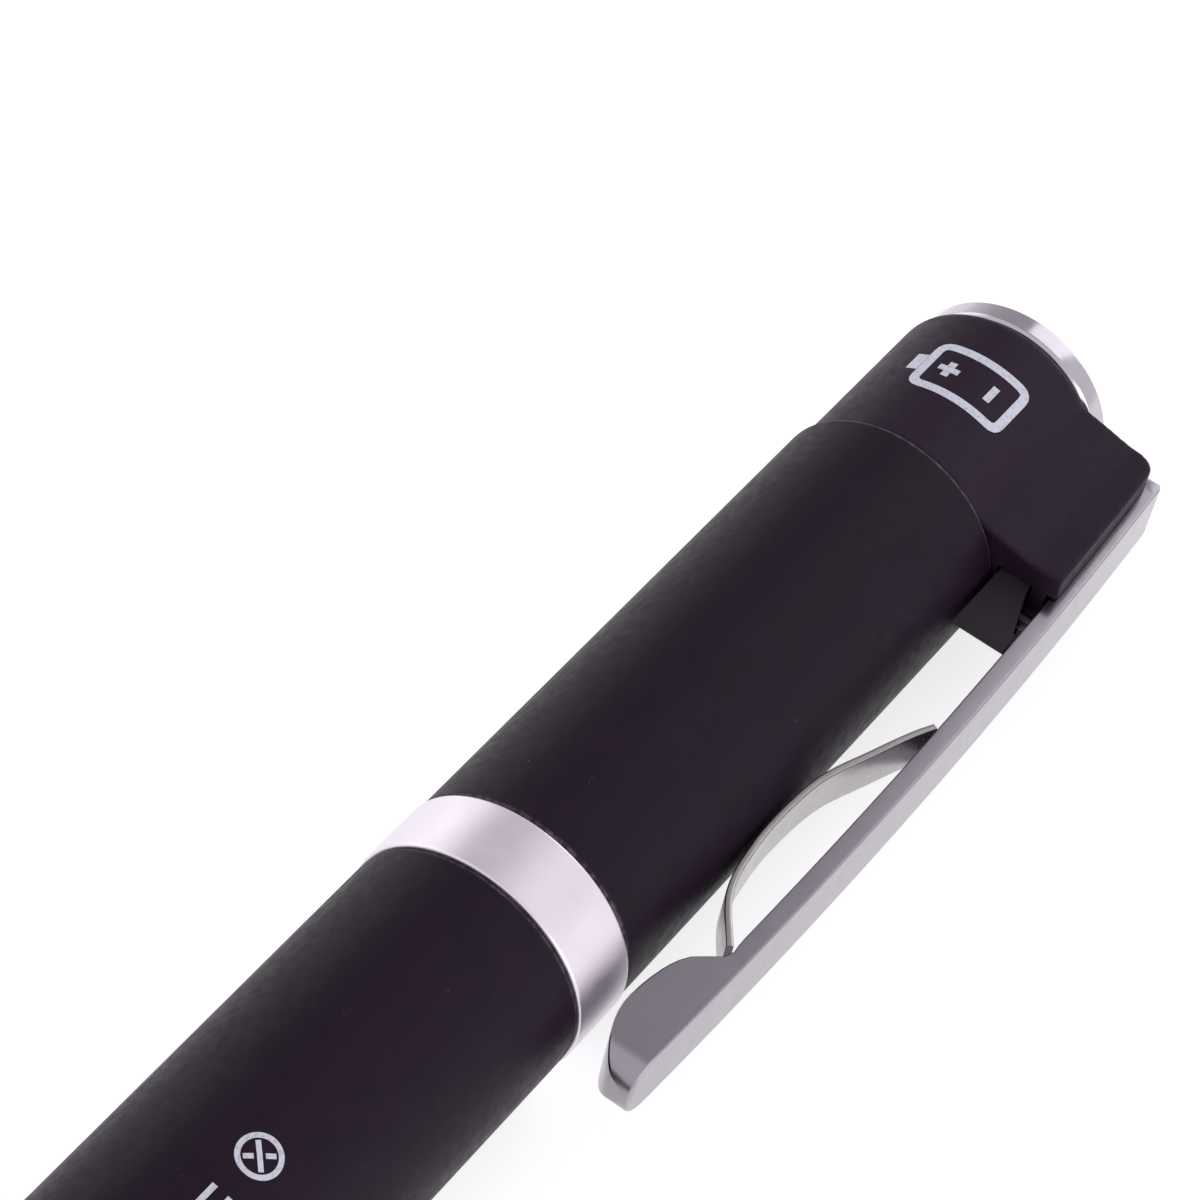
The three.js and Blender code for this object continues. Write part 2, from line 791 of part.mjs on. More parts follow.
// The grip spring: a thin strip from the clip down to just above the barrel and back.
function bowSpring() {
  const half = bow.thickness / 2;
  const low = barrelRadius + gap.overBarrel + half;
  const high = (x) => clipInner(x) - gap.seam - half;
  const middle = new THREE.SplineCurve([
    new THREE.Vector2(bow.headEnd, high(bow.headEnd) - 0.35),
    new THREE.Vector2(bow.headEnd + 3.7, low + 0.95),
    new THREE.Vector2(bow.apex - 4, low + 0.12),
    new THREE.Vector2(bow.apex, low),
    new THREE.Vector2(bow.apex + 4, low + 0.42),
    new THREE.Vector2(bow.tailEnd - 4.9, low + 1.75),
    new THREE.Vector2(bow.tailEnd - 1.8, high(bow.tailEnd) - 0.85),
    new THREE.Vector2(bow.tailEnd, high(bow.tailEnd)),
  ]);
  const steps = 26;
  const upper = [];
  const lower = [];
  for (let i = 0; i <= steps; i += 1) {
    const point = middle.getPoint(i / steps);
    const tangent = middle.getTangent(i / steps);
    upper.push([point.x - tangent.y * half, point.y + tangent.x * half]);
    lower.push([point.x + tangent.y * half, point.y - tangent.x * half]);
  }
  return sideSolid([...upper, ...lower.reverse()], bow.width);
}

piece("clip_slider", clipSlider(), blackPlastic());
piece("slider_contact", sliderContact(), brass());
piece("clip", clipBar(), chrome());
piece("clip_drive_stud", driveStud(), steel());
piece("clip_bow_spring", bowSpring(), steel());

// ---- Head ---------------------------------------------------------------------------------------

// The bundle runs from the lamp towards the viewing channel and turns along it to the front.
function fibrePath(start, end) {
  const wallX = fibreWallX;
  const bend = 1.5;
  const path = new THREE.CurvePath();
  path.add(new THREE.LineCurve3(new THREE.Vector3(start, 0, 0), new THREE.Vector3(wallX + bend, 0, 0)));
  path.add(
    new THREE.QuadraticBezierCurve3(
      new THREE.Vector3(wallX + bend, 0, 0),
      new THREE.Vector3(wallX, 0, 0),
      new THREE.Vector3(wallX, bend, 0),
    ),
  );
  path.add(new THREE.LineCurve3(new THREE.Vector3(wallX, bend, 0), new THREE.Vector3(wallX, end, 0)));
  return path;
}

const fibreEnd = frontFace - cone.flange - gap.hole;

function fibreBundle() {
  return solid(wireAlong(fibrePath(fibreStart, fibreEnd - gap.hole), fibre.radius, 16, 8));
}

function headHousing() {
  const shell = turnedAlongY(
    [
      [rearFace, 0],
      [frontFace, 0],
      [frontFace, frontRadius],
      [frontFace - 4.5, frontRadius + 1.9],
      [frontFace - 9, head.radius - 0.3],
      [frontFace - 12, head.radius],
      [rearFace + head.rearRound + 1.5, head.radius],
      ...arc(rearFace + head.rearRound, head.radius - head.rearRound, head.rearRound, 0.25, 0.5, 4),
    ],
    opticX,
  );
  const neckRadius = barrelRadius - head.neckInset;
  const neckEnd = neckTail - head.neckLength;
  const neck = turned([
    [opticX, 0],
    [neckTail, 0],
    [neckTail, neckRadius],
    [neckTail - 2.5, neckRadius - 0.15],
    [neckTail - 6, head.waist + 0.7],
    [neckEnd + 3, head.waist + 0.1],
    [neckEnd, head.waist],
    [opticX, head.waist + 1.3],
  ]);
  const bossEnd = rearFace + boss.length;
  const pivotBoss = turnedAlongY(
    [[rearFace, 0], [rearFace, boss.radius], [bossEnd, boss.radius], [bossEnd, 0]],
    pivotX,
    0,
    COARSE,
  );
  const outer = join(shell, neck, pivotBoss);
  const flat = 2 * ringRadius;
  const slab = new THREE.BoxGeometry(8 * head.radius, 8 * head.radius, flat).translate(opticX, 0, 0);
  const noseRoom = rod(noseHead - gap.hole, neckTail + 1, noseRadius + gap.thread, FINE);
  const socketRoom = rod(lampBaseHead - gap.hole, neckTail, lamp.socketRadius + gap.press);
  const bulbRoom = rod(fibreStart - gap.hole, lampBaseHead, lamp.bulbRadius + gap.hole);
  const fibreRoom = solid(wireAlong(fibrePath(fibreStart, fibreEnd), fibre.radius + gap.hole, 16, 8));
  const chamber = turnedAlongY(
    [
      [rearFace - 1, 0],
      [rearFace - 1, head.chamberRadius],
      [rearFace + head.chamberDepth, head.chamberRadius],
      [rearFace + head.chamberDepth + 2, tubeRadius(frontFace) + gap.press],
      [frontFace - cone.flange - gap.hole, tubeRadius(frontFace) + gap.press],
      [frontFace - cone.flange - gap.hole, spigotRadius + gap.seam],
      [frontFace + 1, spigotRadius + gap.seam],
      [frontFace + 1, 0],
    ],
    opticX,
  );
  const portHoleRadius = port.shankRadius + gap.press;
  const portHole = turnedAlongZ(
    [[0, 0], [0, portHoleRadius], [ringRadius + 1, portHoleRadius], [ringRadius + 1, 0]],
    opticX,
    portY,
  );
  const screwHole = turnedAlongY(
    [
      [rearFace - 1, 0],
      [rearFace - 1, screw.radius + gap.seam],
      [rearFace + screw.depth, screw.radius + gap.seam],
      [rearFace + screw.depth, 0],
    ],
    pivotX,
    0,
    COARSE,
  );
  const rooms = [noseRoom, socketRoom, bulbRoom, fibreRoom, chamber, portHole, screwHole];
  return cut(outer.intersect(solid(slab)), ...rooms);
}

function speculumSeat() {
  const flangeBack = frontFace - cone.flange;
  return turnedAlongY(
    [
      [flangeBack, coneRadius(frontFace) - cone.wall],
      [flangeBack, spigotRadius],
      [frontFace + gap.seam, spigotRadius],
      [frontFace + gap.seam, flangeRadius],
      [frontFace + gap.seam + cone.flange, flangeRadius],
      [frontFace + gap.seam + cone.flange, coneRadius(frontFace + cone.flange)],
      [coneTip, cone.tipRadius],
      [coneTip, cone.tipRadius - cone.wall],
      [frontFace, coneRadius(frontFace) - cone.wall],
    ],
    opticX,
  );
}

function lightCone() {
  return turnedAlongY(
    [
      [frontFace - cone.flange, layerRadius(frontFace)],
      [frontFace, layerRadius(frontFace)],
      [coneTip, layerRadius(coneTip)],
      [coneTip, layerRadius(coneTip) - cone.wall],
      [frontFace, layerRadius(frontFace) - cone.wall],
      [frontFace - cone.flange, layerRadius(frontFace) - cone.wall],
    ],
    opticX,
    0,
    COARSE,
  );
}

function viewingTube() {
  const back = frontFace - tube.inHousing;
  return turnedAlongY(
    [
      [back, tubeRadius(frontFace)],
      [frontFace, tubeRadius(frontFace)],
      [coneTip, tubeRadius(coneTip)],
      [coneTip, tubeRadius(coneTip) - tube.wall],
      [frontFace, tubeRadius(frontFace) - tube.wall],
      [back, tubeRadius(frontFace) - tube.wall],
    ],
    opticX,
    0,
    COARSE,
  );
}

function earSpeculum() {
  const base = frontFace + gap.seam + cone.flange + speculum.seatGap;
  const tip = base + speculum.length;
  const inner = (y) => coneRadius(y) + speculum.seatGap;
  const seatEnd = coneTip + speculum.seatGap;
  const bore = speculum.tipRadius - speculum.wall;
  const rim = base + speculum.rimLength;
  return turnedAlongY(
    [
      [base, inner(base)],
      [base, speculum.rimRadius],
      [rim, speculum.rimRadius - 0.3],
      [rim + 0.8, inner(rim) + speculum.wall],
      [seatEnd, inner(seatEnd) + speculum.wall],
      [tip - 7, speculum.tipRadius + 0.35],
      ...arc(tip - 0.3, speculum.tipRadius - 0.3, 0.3, 0.25, 0, 3),
      [tip, bore],
      [tip - 7, bore + 0.3],
      [seatEnd, inner(seatEnd)],
    ],
    opticX,
  );
}

function lampSocket() {
  const radius = lamp.socketRadius;
  return sleeve(lampBaseHead, socketTail, radius, radius - lamp.socketWall, 0, COARSE);
}

function lampBase() {
  return turned(
    [
      [lampContact, 0],
      [lampContact, contactTip.radius],
      [lampBaseTail, contactTip.radius],
      [lampBaseTail, lampBaseRadius],
      [lampBaseHead, lampBaseRadius],
      [lampBaseHead, 0],
    ],
    COARSE,
  );
}

function lampBulb() {
  return turned(
    [
      [bulbTail, 0],
      [bulbTail, lamp.bulbRadius],
      ...arc(bulbHead + lamp.bulbRadius, 0, lamp.bulbRadius, 0.25, 0.5, 6).slice(0, -1),
      [bulbHead, 0],
    ],
    COARSE,
  );
}

function insufflationPort() {
  const foot = ringRadius - port.shankDepth;
  const top = ringRadius + port.height;
  return turnedAlongZ(
    [
      [foot, port.bore],
      [foot, port.shankRadius],
      [ringRadius + gap.press, port.shankRadius],
      [ringRadius + gap.press, port.barbRadius + 0.6],
      [ringRadius + 1.2, port.barbRadius + 0.4],
      [ringRadius + 1.5, port.radius - 0.4],
      [top - 2, port.radius - 0.4],
      [top - 2, port.barbRadius],
      [top, port.radius - 0.5],
      [top, port.bore],
    ],
    opticX,
    portY,
  );
}

piece(
  "head_collar",
  sleeve(headCollarHead, headCollarTail, barrelRadius, noseRadius + gap.thread, headCollar.edgeRound),
  chrome(),
);
piece("head_housing", headHousing(), blackPlastic());
piece("lamp_socket", lampSocket(), brass());
piece("lamp_base", lampBase(), steel());
piece("lamp_bulb", lampBulb(), glass());
piece("fibre_bundle", fibreBundle(), clearFibre());
piece("light_cone", lightCone(), clearFibre());
piece("viewing_tube", viewingTube(), blackPaint());
piece("speculum_seat", speculumSeat(), steel());
piece("insufflation_port", insufflationPort(), steel());
piece("ear_speculum", earSpeculum(), blackPlastic());

// ---- Swinging lens ------------------------------------------------------------------------------

const frameFront = rearFace - washer.thickness - 2 * gap.press;
const frameRear = frameFront - frame.thickness;
const seatDepth = 1;

function lensFrame() {
  const ringShape = turnedAlongY(
    [
      [frameFront, frame.opening],
      [frameFront, frame.radius],
      [frameRear + 0.6, frame.radius],
      [frameRear, frame.radius - 0.6],
      [frameRear, lens.radius + gap.seam],
      [frameFront - seatDepth, lens.radius + gap.seam],
      [frameFront - seatDepth, frame.opening],
    ],
    opticX,
  );
  const lug = new THREE.Shape();
  lug.absarc(pivotX, 0, frame.lugRadius, Math.PI / 2, (3 * Math.PI) / 2, false);
  lug.lineTo(pivotX + 3, -frame.lugRadius - 1);
  lug.lineTo(pivotX + 3, frame.lugRadius + 1);
  const lugSolid = planSolid(lug, frameRear + frame.lugStep, frameFront);
  const opening = turnedAlongY(
    [
      [frameFront + 1, 0],
      [frameFront + 1, lens.radius + gap.seam],
      [frameRear - 1, lens.radius + gap.seam],
      [frameRear - 1, 0],
    ],
    opticX,
  );
  const hole = turnedAlongY(
    [
      [frameFront + 1, 0],
      [frameFront + 1, screw.radius + gap.hole],
      [frameRear + frame.lugStep, screw.radius + gap.hole],
      [frameRear + frame.lugStep, screw.headRadius + gap.hole],
      [frameRear - 1, screw.headRadius + gap.hole],
      [frameRear - 1, 0],
    ],
    pivotX,
    0,
    COARSE,
  );
  return cut(join(ringShape, cut(lugSolid, opening)), hole);
}

const lensFront = frameFront - seatDepth - gap.press;
const lensRear = lensFront - lens.edge;

// The lens bulges inside its mount and is flat where the frame and the retaining ring hold it.
function lensGlass() {
  const clear = frame.opening - gap.slide;
  const bulge = (share) => lens.crown * (1 - share ** 2);
  const shares = [1, 0.8, 0.55, 0.3, 0];
  return turnedAlongY(
    [
      ...[...shares].reverse().map((share) => [lensFront + bulge(share), share * clear]),
      [lensFront, lens.radius],
      [lensRear, lens.radius],
      ...shares.map((share) => [lensRear - bulge(share), share * clear]),
    ],
    opticX,
  );
}

function lensRetainer() {
  const front = lensRear - gap.press;
  return turnedAlongY(
    [
      [front, lens.radius - retainer.width],
      [front, lens.radius],
      [front - retainer.thickness, lens.radius],
      [front - retainer.thickness, lens.radius - retainer.width],
    ],
    opticX,
    0,
    COARSE,
  );
}

function pivotScrew() {
  const seat = frameRear + frame.lugStep - gap.press;
  return turnedAlongY(
    [
      [rearFace + screw.depth - gap.hole, 0],
      [rearFace + screw.depth - gap.hole, screw.radius],
      [seat, screw.radius],
      [seat, screw.headRadius],
      [seat - screw.headHeight, screw.headRadius - 0.2],
      [seat - screw.headHeight, 0],
    ],
    pivotX,
    0,
    COARSE,
  );
}

function pivotWasher() {
  const low = rearFace - gap.press - washer.thickness;
  return turnedAlongY(
    [
      [low, screw.radius + gap.seam],
      [low, washer.radius],
      [low + washer.thickness, washer.radius],
      [low + washer.thickness, screw.radius + gap.seam],
    ],
    pivotX,
    0,
    COARSE,
  );
}

piece("lens_frame", lensFrame(), blackPlastic());
piece("lens", lensGlass(), glass());
piece("lens_retainer", lensRetainer(), blackPaint());
piece("lens_pivot_screw", pivotScrew(), steel());
piece("pivot_washer", pivotWasher(), steel());

// ---- Placing: the origin is under the middle of the object's box --------------------------------

const box = new THREE.Box3().setFromObject(instrument);
const middle = box.getCenter(new THREE.Vector3());
instrument.position.set(-middle.x, -middle.y, -box.min.z);

const otoscope = new THREE.Group();
otoscope.add(instrument);

export default otoscope;
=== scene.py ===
"""A slim pocket otoscope lying on its side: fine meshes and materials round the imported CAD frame.

Lengths are millimetres in handle coordinates until a mesh is made: x runs along the handle to its
tail from the middle ring's head-side edge, h points from the handle's axis towards the clip, z is up.
"""
import math

import bmesh
import bpy
import numpy as np
from mathutils import Matrix, Vector

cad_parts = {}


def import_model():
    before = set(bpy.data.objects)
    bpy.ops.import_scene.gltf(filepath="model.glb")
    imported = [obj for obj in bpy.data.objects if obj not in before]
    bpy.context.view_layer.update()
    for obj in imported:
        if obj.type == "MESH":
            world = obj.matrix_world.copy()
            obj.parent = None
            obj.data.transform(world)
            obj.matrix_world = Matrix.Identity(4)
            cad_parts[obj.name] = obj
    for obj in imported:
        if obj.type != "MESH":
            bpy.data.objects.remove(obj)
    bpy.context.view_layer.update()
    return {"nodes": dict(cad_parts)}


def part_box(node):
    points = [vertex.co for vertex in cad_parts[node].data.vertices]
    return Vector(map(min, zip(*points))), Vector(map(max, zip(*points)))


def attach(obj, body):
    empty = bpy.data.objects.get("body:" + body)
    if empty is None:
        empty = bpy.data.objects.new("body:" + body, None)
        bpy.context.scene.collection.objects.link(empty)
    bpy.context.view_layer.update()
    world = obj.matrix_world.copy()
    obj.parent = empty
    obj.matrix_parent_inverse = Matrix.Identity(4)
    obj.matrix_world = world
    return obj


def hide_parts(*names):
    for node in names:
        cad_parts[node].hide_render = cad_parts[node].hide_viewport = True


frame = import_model()

# ---- Sizes and places ----

MM = 0.001
PRESS_GAP = 0.05
SEAM_GAP = 0.1
SLIDE_GAP = 0.15
PLUG_HEAD = 2.4
ring_low, ring_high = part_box("mid_ring")
ORIGIN = Vector((ring_low.x, (ring_low.y + ring_high.y) / 2, (ring_low.z + ring_high.z) / 2))


class Span:
    """A CAD node's box in handle coordinates."""

    def __init__(self, node):
        low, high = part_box(node)
        self.x0 = (low.x - ORIGIN.x) / MM
        self.x1 = (high.x - ORIGIN.x) / MM
        self.h0 = (ORIGIN.y - high.y) / MM
        self.h1 = (ORIGIN.y - low.y) / MM
        self.z0 = (low.z - ORIGIN.z) / MM
        self.z1 = (high.z - ORIGIN.z) / MM
        self.x = (self.x0 + self.x1) / 2
        self.h = (self.h0 + self.h1) / 2
        self.radius = (self.z1 - self.z0) / 2


S = {node: Span(node) for node in frame["nodes"]}
BARREL_RADIUS = S["lower_barrel"].radius
CAP_RADIUS = S["tail_cap"].radius
CELL_BORE = S["contact_disc"].radius + PRESS_GAP
COLLAR_RADIUS = S["thread_collar"].radius
THREAD_BORE = COLLAR_RADIUS + SLIDE_GAP
CAP_START = S["upper_barrel"].x1 + SEAM_GAP
CAP_END = S["tail_plug"].x1 - PLUG_HEAD
OPTIC_X = S["ear_speculum"].x
# The head mount's nose, which passes through the lower barrel's lip.
NOSE_RADIUS = CELL_BORE - 0.95

# Camera: place relative to ORIGIN, direction back from the subject, and roll.
CAMERA_PLACE = (-148.13, -72.68, 223.39)
CAMERA_AZIMUTH = -154.9
CAMERA_ELEVATION = 48.61
CAMERA_ROLL = 13.5
CAMERA_LENS = 131.69
SENSOR_WIDTH = 36.0

# ---- Mesh making ----

SEGMENTS = 144
MEDIUM = 96
COARSE = 64
TINY = 1e-6


def to_world(point):
    x, h, z = point
    return Vector((ORIGIN.x + x * MM, ORIGIN.y - h * MM, ORIGIN.z + z * MM))


def rounded(corners, steps=5):
    """A closed outline of (a, b, cut) whose corners are rounded, from `cut` before each corner."""
    outline = []
    for i, (a, b, cut) in enumerate(corners):
        here = np.array((a, b), float)
        before = np.array(corners[i - 1][:2], float)
        after = np.array(corners[(i + 1) % len(corners)][:2], float)
        if cut <= 0:
            outline.append(tuple(here))
            continue
        back, ahead = before - here, after - here
        start = here + back * min(0.49, cut / np.linalg.norm(back))
        end = here + ahead * min(0.49, cut / np.linalg.norm(ahead))
        for t in np.linspace(0, 1, steps + 1):
            outline.append(tuple((1 - t) ** 2 * start + 2 * t * (1 - t) * here + t ** 2 * end))
    return outline


def rounded_box(a0, b0, a1, b1, corner, steps=4):
    return rounded([(a0, b0, corner), (a1, b0, corner), (a1, b1, corner), (a0, b1, corner)], steps)


def circle(u, v, radius, count=48):
    turns = [2 * math.pi * k / count for k in range(count)]
    return [(u + radius * math.cos(t), v + radius * math.sin(t)) for t in turns]


def curve(points, count):
    """`count` points evenly along a smooth curve through the given ones."""
    given = np.array(points, float)
    padded = np.vstack([2 * given[0] - given[1], given, 2 * given[-1] - given[-2]])
    made = []
    for i in range(1, len(padded) - 2):
        a, b, c, d = padded[i - 1:i + 3]
        square, cube = 2 * a - 5 * b + 4 * c - d, 3 * (b - c) + d - a
        for t in np.linspace(0, 1, 24, endpoint=False):
            made.append(b + 0.5 * t * (c - a + t * (square + t * cube)))
    made = np.array(made + [given[-1]])
    run = np.concatenate([[0], np.cumsum(np.linalg.norm(np.diff(made, axis=0), axis=1))])
    wanted = np.linspace(0, run[-1], count)
    return np.column_stack([np.interp(wanted, run, made[:, k]) for k in range(made.shape[1])])


def skin(mesh, rings, closed):
    """Quads between rings of vertices; a ring of one vertex is a pole."""
    pairs = list(zip(rings, rings[1:] + rings[:1])) if closed else list(zip(rings, rings[1:]))
    for near, far in pairs:
        count = max(len(near), len(far))
        if count == 1:
            continue
        for k in range(count):
            m = (k + 1) % count
            quad = [near[k % len(near)], near[m % len(near)], far[m % len(far)], far[k % len(far)]]
            mesh.faces.new(list(dict.fromkeys(quad)))


def lathe(mesh, outline, axis="x", centre=(0, 0), segments=SEGMENTS, wave=None):
    """Turns a closed outline of (place along the axis, radius) round a centre.

    `wave(angle, place, radius)` may change the radius, for ribs."""
    rings = []
    for place, radius in outline:
        if radius < TINY:
            rings.append([mesh.verts.new(to_world(on_axis(axis, centre, place, 0, 0)))])
            continue
        ring = []
        for k in range(segments):
            angle = 2 * math.pi * k / segments
            reach = wave(angle, place, radius) if wave else radius
            spot = on_axis(axis, centre, place, reach * math.cos(angle), reach * math.sin(angle))
            ring.append(mesh.verts.new(to_world(spot)))
        rings.append(ring)
    skin(mesh, rings, closed=True)


def on_axis(axis, centre, place, a, b):
    """The point at a place along an axis and offsets a and b from it."""
    if axis == "x":
        return place, centre[0] + a, centre[1] + b
    if axis == "h":
        return centre[0] + a, place, centre[1] + b
    return centre[0] + a, centre[1] + b, place


def prism(mesh, outline, low, high, axis="z"):
    """An outline of (x, h) between two z, or of (x, z) between two h, or of (h, z) between two x."""
    layers = []
    for level in (low, high):
        spots = {
            "z": lambda a, b: (a, b, level),
            "h": lambda a, b: (a, level, b),
            "x": lambda a, b: (level, a, b),
        }[axis]
        layers.append([mesh.verts.new(to_world(spots(a, b))) for a, b in outline])
    skin(mesh, layers, closed=False)
    mesh.faces.new(layers[0])
    mesh.faces.new(list(reversed(layers[1])))


def loft(mesh, sections):
    """A closed body through sections, each a list of points."""
    rings = [[mesh.verts.new(to_world(point)) for point in section] for section in sections]
    skin(mesh, rings, closed=False)
    mesh.faces.new(rings[0])
    mesh.faces.new(list(reversed(rings[-1])))


def shape(build):
    """A scratch object from a function that fills a bmesh."""
    mesh = bmesh.new()
    build(mesh)
    bmesh.ops.remove_doubles(mesh, verts=mesh.verts, dist=0.0005 * MM)
    bmesh.ops.recalc_face_normals(mesh, faces=mesh.faces)
    data = bpy.data.meshes.new("shape")
    mesh.to_mesh(data)
    mesh.free()
    made = bpy.data.objects.new("shape", data)
    bpy.context.scene.collection.objects.link(made)
    return made


def turned(*settings):
    return shape(lambda mesh: lathe(mesh, *settings))


def extruded(*settings):
    return shape(lambda mesh: prism(mesh, *settings))


def cylinder(start, end, radius, *settings):
    """A scratch cylinder between two places along an axis."""
    return turned([(start, 0), (start, radius), (end, radius), (end, 0)], *settings)


def block(x0, x1, h0, h1, half_width):
    """A scratch block, centred on z = 0."""
    return extruded([(x0, h0), (x1, h0), (x1, h1), (x0, h1)], -half_width, half_width)


def applied(made):
    """The object with its modifiers applied."""
    graph = bpy.context.evaluated_depsgraph_get()
    made.data = bpy.data.meshes.new_from_object(made.evaluated_get(graph))
    made.modifiers.clear()
    return made


def combined(first, operation, *others):
    """Union, difference or intersection of solids; the others are used up."""
    for other in others:
        modifier = first.modifiers.new("combine", "BOOLEAN")
        modifier.operation = operation
        modifier.solver = "MANIFOLD"
        modifier.object = other
        bpy.context.view_layer.update()
        applied(first)
        bpy.data.objects.remove(other)
    return first


def moulded(made, voxel, rounds):
    """Melts a solid's edges together, as a moulding's are."""
    modifier = made.modifiers.new("remesh", "REMESH")
    modifier.mode = "VOXEL"
    modifier.voxel_size = voxel * MM
    modifier = made.modifiers.new("soften", "SMOOTH")
    modifier.factor = 0.5
    modifier.iterations = rounds
    bpy.context.view_layer.update()
    return applied(made)


def softened(made, width, segments=3, angle=35):
    """Small rounds along every edge sharper than an angle."""
    modifier = made.modifiers.new("edges", "BEVEL")
    modifier.width = width * MM
    modifier.segments = segments
    modifier.limit_method = "ANGLE"
    modifier.angle_limit = math.radians(angle)
    modifier.use_clamp_overlap = True
    return made


def piece(name, made, material, body, slot, *nodes):
    """Names a finished shape and puts it in the frame in place of its CAD nodes."""
    if not isinstance(made, bpy.types.Object):
        made = shape(made)
    made.name = name
    made.data.name = name
    made.data.materials.clear()
    made.data.materials.append(material)
    made.data.shade_smooth()
    made.data.set_sharp_from_angle(angle=math.radians(40))
    weighted = made.modifiers.new("normals", "WEIGHTED_NORMAL")
    weighted.keep_sharp = True
    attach(made, body)
    if nodes:
        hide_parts(*nodes)
    return made


# ---- Material making ----


def add(tree, kind, inputs=None, **settings):
    """A shader node whose inputs are values or other nodes' outputs."""
    made = tree.nodes.new(f"ShaderNode{kind}")
    for key, value in settings.items():
        setattr(made, key, value)
    for key, value in (inputs or {}).items():
        if isinstance(value, bpy.types.NodeSocket):
            tree.links.new(value, made.inputs[key])
        else:
            made.inputs[key].default_value = value
    return made


def maths(tree, operation, *values):
    return add(tree, "Math", dict(enumerate(values)), operation=operation).outputs[0]


def world_x(places):
    """Places along the handle as the frame's own x, in metres."""
    return [ORIGIN.x + place * MM for place in places]


def place_in(tree, stretch=(1, 1, 1)):
    """Object coordinates in millimetres, stretched."""
    coordinates = add(tree, "TexCoord").outputs["Object"]
    scale = [s / MM for s in stretch]
    return add(tree, "Mapping", {"Vector": coordinates, "Scale": scale}).outputs[0]


def noise(tree, per_mm, detail=3.0, roughness=0.5, stretch=(1, 1, 1)):
    where = place_in(tree, stretch)
    inputs = {"Vector": where, "Scale": per_mm, "Detail": detail, "Roughness": roughness}
    return add(tree, "TexNoise", inputs).outputs["Fac"]


def ranged(tree, value, low, high, from_low=0.3, from_high=0.7):
    inputs = {0: value, 1: from_low, 2: from_high, 3: low, 4: high}
    return add(tree, "MapRange", inputs).outputs[0]


def mixed(tree, share, first, second):
    """A colour between two, each a colour or an output."""
    made = add(tree, "Mix", {0: share}, data_type="RGBA")
    for index, value in ((6, first), (7, second)):
        if isinstance(value, bpy.types.NodeSocket):
            tree.links.new(value, made.inputs[index])
        else:
            made.inputs[index].default_value = (*value, 1)
    return made.outputs[2]


def specks(tree, spacing, size, share):
    """Sparse dots of dust: 1 inside a dot, 0 elsewhere."""
    cells = add(tree, "TexVoronoi", {"Vector": place_in(tree), "Scale": 1 / spacing})
    near = maths(tree, "LESS_THAN", cells.outputs["Distance"], size / spacing)
    chance = add(tree, "SeparateColor", {0: cells.outputs["Color"]}).outputs[0]
    return maths(tree, "MULTIPLY", near, maths(tree, "LESS_THAN", chance, share))


def hairs(tree, per_mm, width):
    """Fine curved lines where a noise crosses its middle, kept only in patches."""
    from_middle = maths(tree, "SUBTRACT", noise(tree, per_mm, 1.0, 0.4), 0.5)
    thin = maths(tree, "LESS_THAN", maths(tree, "ABSOLUTE", from_middle), width)
    patch = maths(tree, "GREATER_THAN", noise(tree, per_mm * 1.7, 2.0, 0.5), 0.66)
    return maths(tree, "MULTIPLY", thin, patch)


def near_places(tree, axis, places, width):
    """1 close to given places along an object axis, broken up by noise, fading to 0."""
    coordinates = add(tree, "TexCoord").outputs["Object"]
    along = add(tree, "SeparateXYZ", {0: coordinates}).outputs[axis]
    total = None
    for place in places:
        away = maths(tree, "ABSOLUTE", maths(tree, "SUBTRACT", along, place))
        closeness = ranged(tree, away, 1.0, 0.0, 0.0, width * MM)
        total = closeness if total is None else maths(tree, "MAXIMUM", total, closeness)
    patchy = ranged(tree, noise(tree, 1.6, 4.0, 0.65), 0.15, 1.0, 0.42, 0.62)
    return maths(tree, "MULTIPLY", total, patchy)


def bumped(tree, shader, height, depth):
    """Adds a relief of a depth in millimetres to the shader's normal."""
    relief = add(tree, "Bump", {"Height": height, "Distance": depth * MM})
    previous = shader.inputs["Normal"]
    if previous.is_linked:
        tree.links.new(previous.links[0].from_socket, relief.inputs["Normal"])
    tree.links.new(relief.outputs[0], shader.inputs["Normal"])


def material(name, **sockets):
    made = bpy.data.materials.new(name)
    made.use_nodes = True
    tree = made.node_tree
    shader = tree.nodes["Principled BSDF"]
    for socket, value in sockets.items():
        shader.inputs[socket.replace("_", " ")].default_value = value
    return made, tree, shader


def connect(tree, output, shader, socket):
    tree.links.new(output, shader.inputs[socket])


def lacquer(name, ends):
    """Fine matt black lacquer, dusty and lightly scratched, painted lighter at the given ends for rubbed
    rims and a painted highlight on the rounded rims.
    """
    made, tree, shader = material(name, IOR=1.45, Specular_IOR_Level=0.115)
    tone = mixed(tree, noise(tree, 0.35, 4.0), (0.0085, 0.0030, 0.0098), (0.0148, 0.0068, 0.0162))
    grain = noise(tree, 14.0, 2.0)
    tone = mixed(tree, ranged(tree, grain, 0.0, 0.35), tone, (0.019, 0.013, 0.020))
    tone = mixed(tree, specks(tree, 2.4, 0.045, 0.5), tone, (0.13, 0.11, 0.125))
    tone = mixed(tree, specks(tree, 1.1, 0.03, 0.22), tone, (0.07, 0.058, 0.07))
    tone = mixed(tree, hairs(tree, 0.55, 0.0012), tone, (0.06, 0.05, 0.06))
    # Painted highlight and wear: the colour is lighter near the tube ends, standing for rubbed rims and the
    # light their rounded edges catch.
    tone = mixed(tree, near_places(tree, 0, ends, 0.35), tone, (0.15, 0.13, 0.14))
    connect(tree, tone, shader, "Base Color")
    connect(tree, ranged(tree, noise(tree, 1.3, 5.0), 0.40, 0.54), shader, "Roughness")
    bumped(tree, shader, grain, 0.006)
    bumped(tree, shader, noise(tree, 2.2, 3.0), 0.006)
    return made


